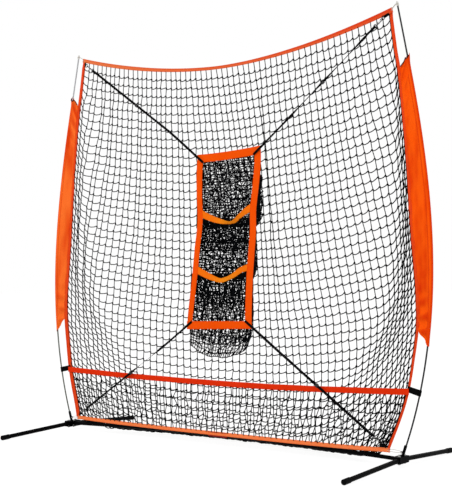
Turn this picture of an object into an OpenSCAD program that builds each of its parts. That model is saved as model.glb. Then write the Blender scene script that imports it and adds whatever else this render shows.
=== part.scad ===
// Pitching target net on a folding steel base.
// X runs across the net, the thrower stands on -Y, Z is up, and the soles of the feet are at Z = 0.

/* [Base] */
// Half the distance between the two hubs
hub_x = 1045; // [1040:1:1050]
// Height of the tubes at the hubs
hub_z = 36; // [35:1:38]
// Diameter of the leg tubes
leg_d = 22; // [20:1:22]
// Length of a leg from its pivot bolt to its tip
leg_len = 494; // [460:1:520]
// Distance of each pivot bolt from the crossbar's axis
pivot_y = 27; // [27:1:29]
// Outer diameter of the rubber leg caps
cap_d = 26; // [25:0.5:26]
// Height of the leg's axis at its tip, a little under the cap's radius so that the sole is flat
tip_z = 12.3; // [12:0.1:12.4]
// Outer diameter of the crossbar's two end sections
bar_d = 19; // [18:0.5:19]
// Outer diameter of the crossbar's centre section
core_d = 16; // [15.5:0.1:16]
// How far the middle of the crossbar rises above its ends
bar_rise = 21; // [18:1:24]
// Half the width of the gap between the crossbar's end sections
splice_x = 430; // [400:5:450]

/* [Poles] */
// Diameter of the glass fibre poles
pole_d = 8; // [7.5:0.1:8.2]
// Height of the pole tips
pole_top = 2150; // [2140:1:2160]
// Outer diameter of the steel sockets
socket_d = 14; // [13:0.5:15]
// Length of the steel sockets
socket_len = 62; // [50:1:65]

/* [Net] */
// Width of the folded orange trims
trim_w = 20; // [18:1:24]
// Thickness of the folded trims
trim_t = 2.4; // [2:0.1:3]
// How far the top trim sags in the middle
top_sag = 152; // [120:1:170]
// Height of the catch strap's ends
catch_z = 345; // [335:1:355]
// Height of the catch strap's webbing
catch_w = 27; // [24:1:30]
// How far the middle of the catch strap sags
catch_sag = 25; // [15:1:35]

/* [Target] */
// Width of the target
target_w = 400; // [380:1:420]
// Height of the middle of the target's top edge
target_top = 1532; // [1520:1:1540]
// Height of the middle of the target's bottom edge
target_bottom = 602; // [590:1:610]
// Width of the target's bands
band_w = 37; // [34:1:40]
// Width of the black strap webbing
web_w = 13; // [11:0.5:14]

/* [Hidden] */

$fn = 48;
orange = "orangered";
steel_black = "dimgray";
web_black = "black";
gap = 0.4;              // air between neighbours that are sewn or tied together
net_gap = 1.6;          // air between the nets and what they are laced to

// Base
tube_wall = 1.5;
plate_t = 3;            // hub plates
hub_gap = 25;           // clear height between the hub plates
hub_half_y = 44;
hub_back = 25;          // how far the plates reach inwards of the pivots
web_gap = 0.2;          // between a leg and the web that stops it
bolt_d = 8;
bolt_fit = 0.05;        // radial running fit of a leg on its bolt
head_d = 14;
head_h = 5;
lock_d = 6;             // bolt that holds the crossbar in the hub
lock_x = hub_x - 14;
cap_len = 45;
cap_floor = 4;
leg_drop = atan2(hub_z - tip_z, leg_len);
plate_top = hub_z + hub_gap / 2 + plate_t;
web_x = hub_x + leg_d / 2 + web_gap;

// The crossbar is one long arc through both hubs
bar_r = (pow(web_x, 2) + pow(bar_rise, 2)) / (2 * bar_rise);
bar_mid_z = hub_z + bar_rise;
splice_len = 60;
splice_fit = 0.2;
arc_steps = 24;         // straight steps that an arc of the crossbar is drawn with
button_d = 7;
button_x = splice_x + 26;
button_travel = 3.2;
button_out = button_travel + 0.3;   // how far a button stands proud

// Poles: one bent curve from the hub to the net's top corner
pole_foot_z = 30;
pole_bend = [1041, 1300, 1180, 1020];
pole_back = 20;         // the tips stand this far behind the hubs
socket_floor = 6;
ferrule_len = 70;
ferrule_wall = 0.7;
pole_sides = 10;
pole_cuts = [0.0142, 0.335, 0.665, 0.994];   // shares of the height where the pole's parts end
wrap_t = 1.2;           // webbing wrapped round a pole

// Net outline: the outer edge of the right trim, as [height, x]
side_knots = [[40, 980], [72, 990], [300, 1070], [480, 1105], [700, 1128], [1100, 1099],
    [1500, 1071], [1830, 1037], [1920, 1021], [2112, 994], [2160, 987]];
corner_x = 995;
top_z = 2122;
top_power = 1.84;       // shape of the top trim's sag
bottom_z = 64;          // lower edge of the bottom trim
net_t = 1.2;
net_rows = 24;
net_cols = 16;
net_low = bottom_z + trim_w + net_gap;
bag_line = [[258, -200], [388, 580]];   // the net's middle is drawn to these two [y, z] in turn
depth_power = 6;        // how squarely the net bulges back between its sides
drop_power = 8;         // how squarely its rows hang at the foot
edge_back = 0.4;        // the net hangs behind the trims' middle

// Wings
wing_low = [632, 592];  // height of the lower end at the trim and at the pole
wing_high = [1830, 1888];
wing_t = 1.1;
sleeve_r = 7.2;
wing_rings = 30;

// Target
target_t = 2.4;
target_front = 17;      // y of the target's foot
target_lean = 73 / 930;
divider_h = 30;
divider_sag = 48;
pocket_wall = 2;

// Straps from the net's corners to the target's corners
hook_r = 7.6;           // outer radius of a hook's two bows
hook_wire = 3;          // width and thickness of a hook's body
hook_len = 24;          // between the centres of its bows
gate_x = 19.5;          // place of the gate's pin along the hook
gate_y = -6.1;
pin_d = 1.2;
eye_bar = [44.5, 48];   // the bar that the webbing loops round
ring_r = 9;
ring_wire = 1.5;
ring_x = -11.8;
web_t = 1.3;
slider_len = 15;
slider_t = 2;
slide_gap = 0.4;
upper_anchor = [944, 13, 2070];
upper_end = [188, 84.9, 1514];
lower_anchor = [942, -20, 110];
lower_end = [188, 14.4, 622];
upper_tab = 13.4;       // how far the corner tabs reach back from the rings to the trims
lower_tab = 9.6;
upper_slide = 425;      // distance of the slider from the corner ring
lower_slide = 420;

// ---------- Curves ----------

function lerp(a, b, t) = a + (b - a) * t;
function bezier(p, t) = p[0] * pow(1 - t, 3) + 3 * p[1] * t * pow(1 - t, 2)
    + 3 * p[2] * t * t * (1 - t) + p[3] * pow(t, 3);
function hermite(a, b, ma, mb, t) = a * (2 * pow(t, 3) - 3 * t * t + 1) + ma * (pow(t, 3) - 2 * t * t + t)
    + b * (3 * t * t - 2 * pow(t, 3)) + mb * (pow(t, 3) - t * t);
function knot_slope(k, i) = (k[i + 1][1] - k[i - 1][1]) / (k[i + 1][0] - k[i - 1][0]);
function knot_below(k, z, i = 1) = (i + 2 >= len(k) - 1 || z <= k[i + 1][0]) ? i : knot_below(k, z, i + 1);
function curve_at(k, z) =
    let (i = knot_below(k, z), span = k[i + 1][0] - k[i][0])
    hermite(k[i][1], k[i + 1][1], knot_slope(k, i) * span, knot_slope(k, i + 1) * span,
        (z - k[i][0]) / span);
function reversed(list) = [for (i = [len(list) - 1:-1:0]) list[i]];
function unit(v) = v / norm(v);

// Outer edge of the side trims, and the depth of the net's plane, at a height
function side_x(z) = curve_at(side_knots, z);
function plane_y(z) = 20 + z / 350 - 49 * exp(-z / 170);
// Upper edge of the top trim
function top_edge(x) = top_z - top_sag * (1 - pow(abs(x) / corner_x, top_power));
// Centre of the right pole at a height, and the height along its length
function pole_share(z) = (z - pole_foot_z) / (pole_top - pole_foot_z);
function pole_point(t) = [bezier(pole_bend, t), pole_back * t, lerp(pole_foot_z, pole_top, t)];
function pole_way(t) = unit(pole_point(t + 0.01) - pole_point(t - 0.01));
function pole_at(z) = pole_point(pole_share(z));
socket_lean = atan2(pole_way(0.03)[0], pole_way(0.03)[2]);
eye_r = 4;
eye_place = [-socket_d / 2 - 3.6, 0, 15];
function target_y(z) = target_front + (z - target_bottom) * target_lean;

// Joins closed loops of points into one closed solid
module skin(rings) {
    n = len(rings[0]);
    m = len(rings);
    sides = [for (j = [0:m - 2], i = [0:n - 1]) let (a = j * n + i, b = j * n + (i + 1) % n)
        each [[a, a + n, b], [b, a + n, b + n]]];
    caps = [[for (i = [0:n - 1]) i], [for (i = [n - 1:-1:0]) (m - 1) * n + i]];
    polyhedron([for (ring = rings) each ring], concat(sides, caps));
}

// Thin wall between a front and a back, each given as rows of points from the bottom up
module shell(front, back) {
    n = len(front[0]);
    m = len(front);
    b = n * m;          // number of the first point of the back
    faces = [for (j = [0:m - 2], i = [0:n - 2]) let (a = j * n + i)
        each [[a, a + n, a + 1], [a + 1, a + n, a + n + 1],
            [b + a, b + a + 1, b + a + n], [b + a + 1, b + a + n + 1, b + a + n]]];
    ends = [for (i = [0:n - 2]) let (t = (m - 1) * n + i)
        each [[i, i + 1, b + i + 1], [i, b + i + 1, b + i], [t, b + t + 1, t + 1], [t, b + t, b + t + 1]]];
    sides = [for (j = [0:m - 2]) let (l = j * n, r = l + n - 1)
        each [[l, b + l, b + l + n], [l, b + l + n, l + n], [r, b + r + n, b + r], [r, r + n, b + r + n]]];
    polyhedron([each [for (row = front) each row], each [for (row = back) each row]],
        concat(faces, ends, sides));
}

// Ring of points round a place, square to a direction that is never along the side vector
function around(centre, way, r, sides, side = [0, 1, 0]) =
    let (across = unit(cross(side, way)), up = cross(way, across))
    [for (i = [0:sides - 1]) let (a = 360 * i / sides) centre + r * (cos(a) * across + sin(a) * up)];

// Flat strip between two edges that run through the same steps
module strip(edge_a, edge_b, t) {
    half = [0, t / 2, 0];
    skin([for (i = [0:len(edge_a) - 1])
        [edge_a[i] - half, edge_b[i] - half, edge_b[i] + half, edge_a[i] + half]]);
}

// Round cord through a few points, nowhere upright
module cord(points, r) {
    last = len(points) - 1;
    skin([for (i = [0:last])
        around(points[i], unit(points[min(i + 1, last)] - points[max(i - 1, 0)]), r, 8, [0, 0, 1])]);
}

module left() {
    mirror([1, 0, 0]) children();
}

// ---------- Base ----------

// Length of crossbar between two places across the net
module bar_arc(x0, x1, outer, inner) {
    a0 = asin(x0 / bar_r);
    a1 = asin(x1 / bar_r);
    translate([0, 0, bar_mid_z - bar_r]) rotate([90, 0, 0]) rotate([0, 0, 90 - a1])
        rotate_extrude(angle = a1 - a0, $fn = round(arc_steps * 360 / (a1 - a0)))
            translate([bar_r, 0]) difference() {
                circle(d = outer, $fn = 48);
                circle(d = inner, $fn = 48);
            }
}

function bar_z(x) = bar_mid_z - bar_r + sqrt(bar_r * bar_r - x * x);

module button_hole(x) {
    translate([x, 0, bar_z(x)]) rotate([-90, 0, 0]) cylinder(d = button_d + 0.2, h = bar_d);
}

module crossbar_centre() {
    color(steel_black) difference() {
        bar_arc(-splice_x - splice_len, splice_x + splice_len, core_d, core_d - 2 * tube_wall);
        for (side = [-1, 1]) button_hole(side * button_x);
    }
}

module crossbar_right() {
    color(steel_black) difference() {
        bar_arc(splice_x, web_x - 0.5, bar_d, core_d + 2 * splice_fit);
        button_hole(button_x);
        translate([lock_x, 0, 0]) cylinder(d = lock_d + 0.2, h = 2 * hub_z);
    }
}

// Button that snaps out through both tubes behind the bar
module snap_button() {
    rim = button_d / 2 + 0.8;
    rim_top = sqrt(pow(core_d / 2 - tube_wall, 2) - rim * rim) - 0.2;
    shoulder = bar_d / 2 + button_out - 1;
    color("silver") translate([button_x, 0, bar_z(button_x)]) rotate([-90, 0, 0]) {
        translate([0, 0, rim_top - 1.3]) cylinder(r = rim, h = 1.3);
        translate([0, 0, rim_top - 0.1]) cylinder(d = button_d, h = shoulder - rim_top + 0.1);
        translate([0, 0, shoulder - 0.01]) cylinder(d1 = button_d, d2 = button_d - 2, h = 1);
    }
}

// Bent leaf under each button, drawn pressed in so that the button has room to travel
module snap_springs() {
    y = tube_wall - core_d / 2 + 0.8;
    for (side = [-1, 1])
        color("silver") translate([side * button_x, 0, bar_z(button_x)])
            translate([0, 0, -2.5]) linear_extrude(5) mirror([side < 0 ? 1 : 0, 0])
                polygon([[-6, y], [26, y], [27, y + 0.8], [26, y + 1.6], [2, y + 2.4], [2, y + 1.8],
                    [25, y + 1], [25, y + 0.6], [-6, y + 0.6]]);
}

// Steel tube that leans outwards as the pole's foot does, with an eye for the net's corner tie
module pole_socket() {
    foot = pole_at(plate_top);
    difference() {
        intersection() {
            at_socket() translate([0, 0, -10]) cylinder(d = socket_d, h = socket_len);
            translate([foot[0] - 40, -20, plate_top]) cube([90, 40, socket_len]);
        }
        at_socket() translate([0, 0, socket_floor]) cylinder(d = pole_d + 1.3, h = socket_len);
    }
    at_socket() translate(eye_place) rotate([90, 0, 0])
        rotate_extrude() translate([eye_r, 0]) circle(r = 1.4, $fn = 24);
}

module at_socket() {
    translate(pole_at(plate_top)) rotate([0, socket_lean, 0]) children();
}

// Bent plate that holds the crossbar's end, the two legs' pivots and the pole's socket
module right_hub() {
    inner_x = hub_x - hub_back;
    color(steel_black) pole_socket();
    color(steel_black) difference() {
        translate([inner_x, -hub_half_y, hub_z - hub_gap / 2 - plate_t])
            cube([web_x + plate_t - inner_x, 2 * hub_half_y, hub_gap + 2 * plate_t]);
        translate([inner_x - 1, -hub_half_y - 1, hub_z - hub_gap / 2])
            cube([web_x - inner_x + 1, 2 * hub_half_y + 2, hub_gap]);
        for (side = [-1, 1])
            translate([hub_x, side * pivot_y, 0]) cylinder(d = bolt_d + 2 * bolt_fit, h = 2 * hub_z);
        translate([lock_x, 0, 0]) cylinder(d = lock_d + 0.2, h = 2 * hub_z);
    }
}

module bolt(x, y, d, head) {
    under = hub_z - hub_gap / 2 - plate_t;
    translate([x, y, 0]) {
        translate([0, 0, under - 6]) cylinder(d = d, h = plate_top - under + 7);
        translate([0, 0, plate_top]) cylinder(d = head, h = head_h, $fn = 6);
        translate([0, 0, under - head_h]) cylinder(d = head, h = head_h, $fn = 6);
    }
}

module hub_bolts() {
    color("silver") for (end = [-1, 1]) {
        for (side = [-1, 1]) bolt(end * hub_x, side * pivot_y, bolt_d, head_d);
        bolt(end * lock_x, 0, lock_d, 11);
    }
}

// Leg along -Y from its pivot, sloping down to its tip
module leg() {
    color(steel_black) translate([0, 0, hub_z]) difference() {
        intersection() {
            rotate([90 + leg_drop, 0, 0]) translate([0, 0, -leg_d]) difference() {
                cylinder(d = leg_d, h = leg_len / cos(leg_drop) + leg_d);
                translate([0, 0, -1])
                    cylinder(d = leg_d - 2 * tube_wall, h = leg_len / cos(leg_drop) + leg_d + 2);
            }
            union() {
                cylinder(d = leg_d, h = 2 * leg_d, center = true);
                translate([-leg_d, -leg_len - leg_d, -hub_z]) cube([2 * leg_d, leg_len + leg_d, 2 * hub_z]);
            }
        }
        cylinder(d = bolt_d + 2 * bolt_fit, h = 2 * leg_d, center = true);
    }
}

// Moulded cap pushed over the leg's tip, with a flat sole
module leg_cap() {
    reach = leg_len / cos(leg_drop);
    color(web_black) intersection() {
        translate([0, 0, hub_z]) rotate([90 + leg_drop, 0, 0]) difference() {
            translate([0, 0, reach - cap_len]) union() {
                cylinder(d = cap_d, h = cap_len + cap_floor - 2);
                translate([0, 0, cap_len + cap_floor - 2]) cylinder(d1 = cap_d, d2 = cap_d - 4, h = 2);
            }
            translate([0, 0, reach - cap_len - 1]) cylinder(d = leg_d + 0.1, h = cap_len + 1);
        }
        translate([-cap_d, -leg_len - 2 * cap_len, 0]) cube([2 * cap_d, 4 * cap_len, 2 * hub_z]);
    }
}

// Places a leg or a cap: front legs point to -Y, rear legs to +Y
module at_pivot(end, side) {
    translate([end * hub_x, side * pivot_y, 0]) mirror([0, side > 0 ? 1 : 0, 0]) children();
}

// ---------- Poles ----------

module pole_part(i) {
    steps = 20;
    ts = [for (k = [0:steps]) lerp(pole_cuts[i] + (i > 0 ? 0.0003 : 0), pole_cuts[i + 1], k / steps)];
    color(steel_black) skin([for (t = ts) around(pole_point(t), pole_way(t), pole_d / 2, pole_sides)]);
}

module ferrule(t_mid) {
    half = ferrule_len / 2 / (pole_top - pole_foot_z);
    ts = [for (k = [0:4]) t_mid + half * (k / 2 - 1)];
    inner_r = pole_d / 2 + 0.2;
    inner = [for (t = ts) around(pole_point(t), pole_way(t), inner_r, pole_sides)];
    outer = [for (t = ts) around(pole_point(t), pole_way(t), inner_r + ferrule_wall, pole_sides)];
    n = pole_sides;
    rows = concat(inner, reversed(outer));
    m = len(rows);
    polyhedron([for (row = rows) each row],
        [for (j = [0:m - 1], i = [0:n - 1]) let (a = j * n, b = ((j + 1) % m) * n, k = (i + 1) % n)
            each [[a + i, a + k, b + i], [a + k, b + k, b + i]]]);
}

module pole_ferrules() {
    color("silver") for (i = [1, 2]) {
        ferrule(pole_cuts[i]);
        left() ferrule(pole_cuts[i]);
    }
}

module pole_tip() {
    t = pole_cuts[3];
    lean = atan2(pole_way(t)[0], pole_way(t)[2]);
    translate(pole_point(t)) rotate([0, lean, 0]) difference() {
        translate([0, 0, -14]) {
            cylinder(d = pole_d + 3, h = 18);
            translate([0, 0, 18]) cylinder(d1 = pole_d + 3, d2 = pole_d - 2, h = 5);
        }
        translate([0, 0, -15]) cylinder(d = pole_d + 0.3, h = 15.2);
    }
}

module pole_tips() {
    color("gainsboro") {
        pole_tip();
        left() pole_tip();
    }
}

// Fabric panel that ends in a sleeve round the pole
module right_wing() {
    arc = [for (k = [0:10]) k / 10];
    function section(w) = concat(
        [[0, -wing_t]],
        [for (k = arc) let (a = lerp(-170, 170, k)) [w + sleeve_r * cos(a), sleeve_r * sin(a)]],
        [[0, wing_t], [0, 0.2]],
        [for (k = arc) let (a = lerp(177.8, -177.8, k))
            [w + (sleeve_r - wing_t) * cos(a), (sleeve_r - wing_t) * sin(a)]],
        [[0, -0.2]]);
    color(orange) skin([for (k = [0:wing_rings]) let (
            s = k / wing_rings,
            low_z = lerp(wing_low[0], wing_high[0], s),
            a = [side_x(low_z) + 2 * gap, plane_y(low_z), low_z],
            b = pole_at(lerp(wing_low[1], wing_high[1], s)),
            e = unit(b - a),
            n = unit([-e[1], e[0], 0]))
        [for (p = section(norm(b - a))) a + e * p[0] + n * p[1]]]);
}

// ---------- Net ----------

module top_trim() {
    xs = [for (k = [0:24]) lerp(-corner_x, corner_x, k / 24)];
    color(orange) strip(
        [for (x = xs) [x, plane_y(top_z), top_edge(x)]],
        [for (x = xs) [x, plane_y(top_z), top_edge(x) - trim_w]], trim_t);
}

module bottom_trim() {
    foot = side_x(bottom_z);
    head = side_x(bottom_z + trim_w);
    color(orange) strip(
        [for (s = [-1, 1]) [s * head, plane_y(bottom_z + trim_w), bottom_z + trim_w]],
        [for (s = [-1, 1]) [s * foot, plane_y(bottom_z), bottom_z]], trim_t);
}

// The side trims run between the top and the bottom trim
module right_trim() {
    low = bottom_z + trim_w + gap;
    high_out = top_edge(side_x(top_z - trim_w)) - trim_w - gap;
    high_in = top_edge(side_x(top_z - trim_w) - trim_w) - trim_w - gap;
    steps = [for (k = [0:40]) k / 40];
    color(orange) strip(
        [for (s = steps) let (z = lerp(low, high_in, s)) [side_x(z) - trim_w, plane_y(z), z]],
        [for (s = steps) let (z = lerp(low, high_out, s)) [side_x(z), plane_y(z), z]], trim_t);
}

// Height of the net's upper edge, and the line down its middle from front to back and up
function net_head(x) = top_edge(x) - trim_w - net_gap;
net_line = [[plane_y(net_low) + net_gap, net_low], each bag_line, [plane_y(top_z), net_head(0)]];

// Point of the main net: u from -1 to 1 across, v from 0 to 1 up. Its foot hangs just off the floor
function net_point(u, v) =
    let (edge_z = lerp(net_low, net_head(corner_x - trim_w), v),
        edge = [side_x(edge_z) - trim_w - net_gap, plane_y(edge_z), edge_z],
        mid = bezier(net_line, v),
        depth = 1 - pow(abs(u), depth_power),
        drop = 1 - pow(abs(u), lerp(drop_power, top_power, v)))
    [u * edge[0], lerp(edge[1], mid[0], depth) + edge_back, lerp(edge[2], mid[1], drop)];

// Direction square to the net at one of its points, away from the front
function net_way(u, v) =
    let (d = 0.01,
        up = net_point(u, min(v + d, 1)) - net_point(u, max(v - d, 0)),
        across = net_point(min(u + d, 1), v) - net_point(max(u - d, -1), v))
    unit(cross(up, across));

module net_panel() {
    us = [for (i = [0:net_cols]) let (q = 2 * i / net_cols - 1) sign(q) * (1 - pow(1 - abs(q), 1.35))];
    vs = [for (j = [0:net_rows]) pow(j / net_rows, 1.4)];
    color("darkslategray") shell(
        [for (v = vs) [for (u = us) net_point(u, v)]],
        [for (v = vs) [for (u = us) net_point(u, v) + net_way(u, v) * net_t]]);
}

function catch_mid(x) = catch_z - catch_sag * (1 - pow(x / side_x(catch_z), 2));

// Flat net between the catch strap and the bottom trim
module net_apron() {
    us = [for (i = [0:8]) i / 4 - 1];
    rows = 8;
    function row(s, back) = [for (u = us) let (
            high = catch_mid(u * side_x(catch_z)) - catch_w / 2 - net_gap,
            z = lerp(net_low + 2 * net_gap, high, s))
        [u * (side_x(z) - trim_w - net_gap), plane_y(z) - 2.2 + back, z]];
    color("darkslategray")
        shell([for (j = [0:rows]) row(j / rows, 0)], [for (j = [0:rows]) row(j / rows, net_t)]);
}

module catch_strap() {
    xs = [for (k = [0:14]) lerp(-1, 1, k / 14) * (side_x(catch_z - catch_w / 2) - 1)];
    y = plane_y(catch_z - catch_w) - trim_t / 2 - 1.6;
    color("orangered") strip(
        [for (x = xs) [x, y, catch_mid(x) + catch_w / 2]],
        [for (x = xs) [x, y, catch_mid(x) - catch_w / 2]], 1.6);
}

// Loop of hook tape from the catch strap round each pole, square to the pole
module pole_wrap() {
    t = pole_share(catch_z - 3);
    lean = atan2(pole_way(t)[0], pole_way(t)[2]);
    centre = pole_point(t);
    reach = centre[0] - side_x(catch_z) - 1.5;
    front = plane_y(catch_z) - centre[1];
    color(web_black) translate(centre) rotate([0, lean, 0]) translate([0, 0, -catch_w / 2])
        linear_extrude(catch_w) difference() {
            union() {
                circle(r = pole_d / 2 + 0.3 + wrap_t);
                polygon([[0, -pole_d / 2 - 1.5], [0, pole_d / 2 + 1.5],
                    [-reach, front + wrap_t], [-reach, front - wrap_t]]);
            }
            circle(r = pole_d / 2 + 0.3);
        }
}

module pole_wraps() {
    pole_wrap();
    left() pole_wrap();
}

// Tab that closes round the middle of the crossbar
module base_tie() {
    inner = bar_d / 2 - 1;
    y = plane_y(bottom_z);
    color("firebrick") translate([-60, 0, bar_mid_z]) rotate([90, 0, 90]) linear_extrude(120) difference() {
        union() {
            circle(r = inner + 1.6);
            translate([y - 2.7, 0]) square([1.4, bottom_z + 8 - bar_mid_z]);
            translate([y - 2.7, -1.2]) square([-y - inner + 3, 1.4]);
        }
        circle(r = inner);
    }
}

// Loop of cord from each top corner of the net over the pole's tip
module corner_loop() {
    tip = pole_point(pole_cuts[3]) - 4 * pole_way(pole_cuts[3]);
    corner = [corner_x - 6, plane_y(top_z), top_z - 14];
    side = [0, trim_t / 2 + 1.3, 0];
    cord([corner - side, corner - side + [6, 0, 12],
        each [for (a = [-160:32:160]) tip + 7.9 * [cos(a), sin(a), 0]],
        corner + side + [6, 0, 12], corner + side], 1.2);
}

module corner_loops() {
    color("gainsboro") {
        corner_loop();
        left() corner_loop();
    }
}

// Knotted cord from each bottom corner of the net through the eye on the socket
module corner_tie() {
    lean = [sin(socket_lean), 0, cos(socket_lean)];
    eye = pole_at(plate_top) + eye_place[0] * [lean[2], 0, -lean[0]] + eye_place[2] * lean;
    front = eye - [0, 5, 0];
    corner = [side_x(bottom_z) - 8, plane_y(bottom_z + 10) - trim_t / 2 - 2.4, bottom_z + 10];
    cord([corner, corner + [14, 0, -1], lerp(corner, front, 0.6) - [0, 0, 2], front, eye + [0, 4.5, 0]], 1.5);
    translate(eye + [0, 6.4, 0]) sphere(r = 3, $fn = 24);
    translate(corner - [1, 1.6, 0]) sphere(r = 3, $fn = 24);
}

module corner_ties() {
    color(web_black) {
        corner_tie();
        left() corner_tie();
    }
}

// ---------- Target ----------

// Stands a flat drawing (x across, y up from the foot) on the target's leaning plane
module on_target(y0, t) {
    translate([0, target_front + y0, target_bottom]) rotate([90 - atan(target_lean), 0, 0])
        mirror([0, 0, 1]) linear_extrude(t) children();
}

target_h = (target_top - target_bottom) / cos(atan(target_lean));

module target_frame() {
    color(orange) on_target(-target_t, target_t) difference() {
        translate([-target_w / 2, 0]) square([target_w, target_h]);
        translate([-target_w / 2 + band_w, band_w]) square([target_w - 2 * band_w, target_h - 2 * band_w]);
    }
}

// Lip of a pocket, a shallow V across the opening
module divider(z) {
    half = target_w / 2 - 8;
    foot = z - target_bottom;
    color("darkorange") on_target(0.1, 2) polygon([
        [-half, foot], [0, foot - divider_sag], [half, foot],
        [half, foot + divider_h], [0, foot - divider_sag + divider_h * 0.6], [-half, foot + divider_h]]);
}

upper_lip = 1192;
lower_lip = 908;

// Hanging mesh bag behind the target: head and foot heights, and the mouth it leaves open
module pocket(head, foot, mouth_low, mouth_high, belly) {
    half = target_w / 2 - band_w / 2;
    module bag(less) {
        r = 34 - less;
        hull() {
            translate([0, target_y(head) + 5 + less, head - 5 - less]) rotate([0, 90, 0])
                cylinder(r = 2.4, h = 2 * (half - less), center = true, $fn = 24);
            for (side = [-1, 1]) {
                translate([side * (half - 36), target_y(head) + belly - 36, lerp(foot, head, 0.55)])
                    sphere(r = r, $fn = 24);
                translate([side * (half - 60), target_y(foot) + 42, foot + 34]) sphere(r = r, $fn = 24);
                translate([side * (half - 5 - less), target_y(lerp(foot, head, 0.4)) + 7 + less,
                    lerp(foot, head, 0.4)]) sphere(r = 2.5, $fn = 16);
            }
        }
    }
    color("darkslategray") difference() {
        bag(0);
        bag(pocket_wall);
        translate([-half + 22, target_y(mouth_low) - 20, mouth_low])
            cube([2 * half - 44, 52, mouth_high - mouth_low]);
    }
}

module top_pocket() {
    pocket(target_top - band_w, 1122, 1215, 1460, 73);
}

module middle_pocket() {
    pocket(1117, 846, 940, 1095, 80);
}

module bottom_pocket() {
    pocket(841, 455, 650, 820, 118);
}

// ---------- Straps ----------

// Lays its children along the line from a corner ring to the target: x along, y backwards, z across
module along(from, to) {
    d = to - from;
    translate(from) rotate([180, -atan2(d[2], norm([d[0], d[1]])), atan2(d[1], d[0])]) children();
}

// Webbing looped on the hook, doubled as far as the slider, single from there on
module strap(from, to, slide) {
    reach = norm(to - from);
    loop = [eye_bar[1] - eye_bar[0] + 0.6, hook_wire + 0.8];
    start = eye_bar[1] + 1.2;
    color(web_black) along(from, to) {
        translate([eye_bar[0] - 0.3, 0, 0]) difference() {
            translate([-web_t, -loop[1] / 2 - web_t, -web_w / 2])
                cube([loop[0] + 2 * web_t, loop[1] + 2 * web_t, web_w]);
            translate([0, -loop[1] / 2, -web_w]) cube([loop[0], loop[1], 2 * web_w]);
        }
        translate([start, -web_t, -web_w / 2]) cube([slide - start, 2 * web_t, web_w]);
        translate([slide - 1, -web_t / 2, -web_w / 2]) cube([reach - slide + 1, web_t, web_w]);
    }
}

// Oblong slide that grips the webbing
module slider(from, to, slide) {
    inner = [slider_len + 2, 2 * (web_t + slide_gap), web_w + 2 * slide_gap];
    outer = [slider_len, inner[1] + 2 * slider_t, inner[2] + 2 * slider_t];
    color("black") along(from, to) translate([slide, 0, 0]) difference() {
        cube(outer, center = true);
        cube(inner, center = true);
    }
}

// Oblong outline of a hook's body at some distance from its middle line
module hook_outline(r) {
    circle(r = r);
    translate([hook_len, 0]) circle(r = r);
    translate([0, -r]) square([hook_len, 2 * r]);
}

// Snap hook: a body with a mouth for the gate, cheeks for its pin, and an eye for the webbing
module hook(from, to) {
    eye_h = web_w + 6;
    color("silver") along(from, to) {
        linear_extrude(hook_wire, center = true) difference() {
            hook_outline(hook_r);
            hook_outline(hook_r - hook_wire);
            translate([4, -hook_r - 1]) square([gate_x + 1.7 - 4, hook_wire + 1.6]);
        }
        for (side = [-1, 1]) translate([0, 0, side * (hook_wire / 2 + 0.4)])
            linear_extrude(0.8, center = true) difference() {
                translate([gate_x - 1.6, -hook_r + 0.2]) square([5, hook_wire - 0.4]);
                translate([gate_x, gate_y]) circle(d = pin_d + 0.1);
            }
        translate([hook_len + hook_r - 1, 0, 0]) rotate([0, 90, 0]) cylinder(d = hook_wire, h = 7);
        rotate([90, 0, 0]) linear_extrude(hook_wire, center = true) difference() {
            translate([eye_bar[0] - 8, -eye_h / 2]) square([eye_bar[1] - eye_bar[0] + 8, eye_h]);
            translate([eye_bar[0] - 5, -eye_h / 2 + 2]) square([5, eye_h - 4]);
        }
    }
}

// Spring gate that closes the hook's mouth, on a pin through its cheeks
module gate(from, to) {
    color("gainsboro") along(from, to) translate([gate_x, gate_y, 0]) {
        linear_extrude(2.4, center = true) {
            circle(r = 1.3);
            translate([4.3 - gate_x, -1.3]) square([gate_x - 4.3, 2.6]);
        }
        cylinder(d = pin_d, h = 4.4, center = true);
    }
}

module strap_hooks() {
    hook(upper_anchor, upper_end);
    left() hook(upper_anchor, upper_end);
    hook(lower_anchor, lower_end);
    left() hook(lower_anchor, lower_end);
}

// Ring that a hook closes on
module corner_ring(from, to) {
    color("silver") along(from, to) translate([ring_x, 0, 0]) rotate([90, 0, 0])
        rotate_extrude() translate([ring_r, 0]) circle(r = ring_wire, $fn = 24);
}

module corner_rings() {
    corner_ring(upper_anchor, upper_end);
    left() corner_ring(upper_anchor, upper_end);
    corner_ring(lower_anchor, lower_end);
    left() corner_ring(lower_anchor, lower_end);
}

// Tab of webbing that holds a ring to the net's corner
module corner_tab(from, to, back) {
    x = ring_x - ring_r;
    bow = ring_wire + 0.2;
    module oblong(r) {
        translate([x, 0]) circle(r = r);
        translate([x + 2.2, 0]) circle(r = r);
        translate([x, -r]) square([2.2, 2 * r]);
    }
    color(web_black) along(from, to) linear_extrude(11, center = true) difference() {
        union() {
            oblong(bow + 1.2);
            polygon([[x, -bow - 0.6], [x - 18, back - 0.7], [x - 18, back + 0.7], [x, bow + 0.6]]);
        }
        oblong(bow);
    }
}

module corner_tabs() {
    corner_tab(upper_anchor, upper_end, upper_tab);
    left() corner_tab(upper_anchor, upper_end, upper_tab);
    corner_tab(lower_anchor, lower_end, lower_tab);
    left() corner_tab(lower_anchor, lower_end, lower_tab);
}

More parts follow.
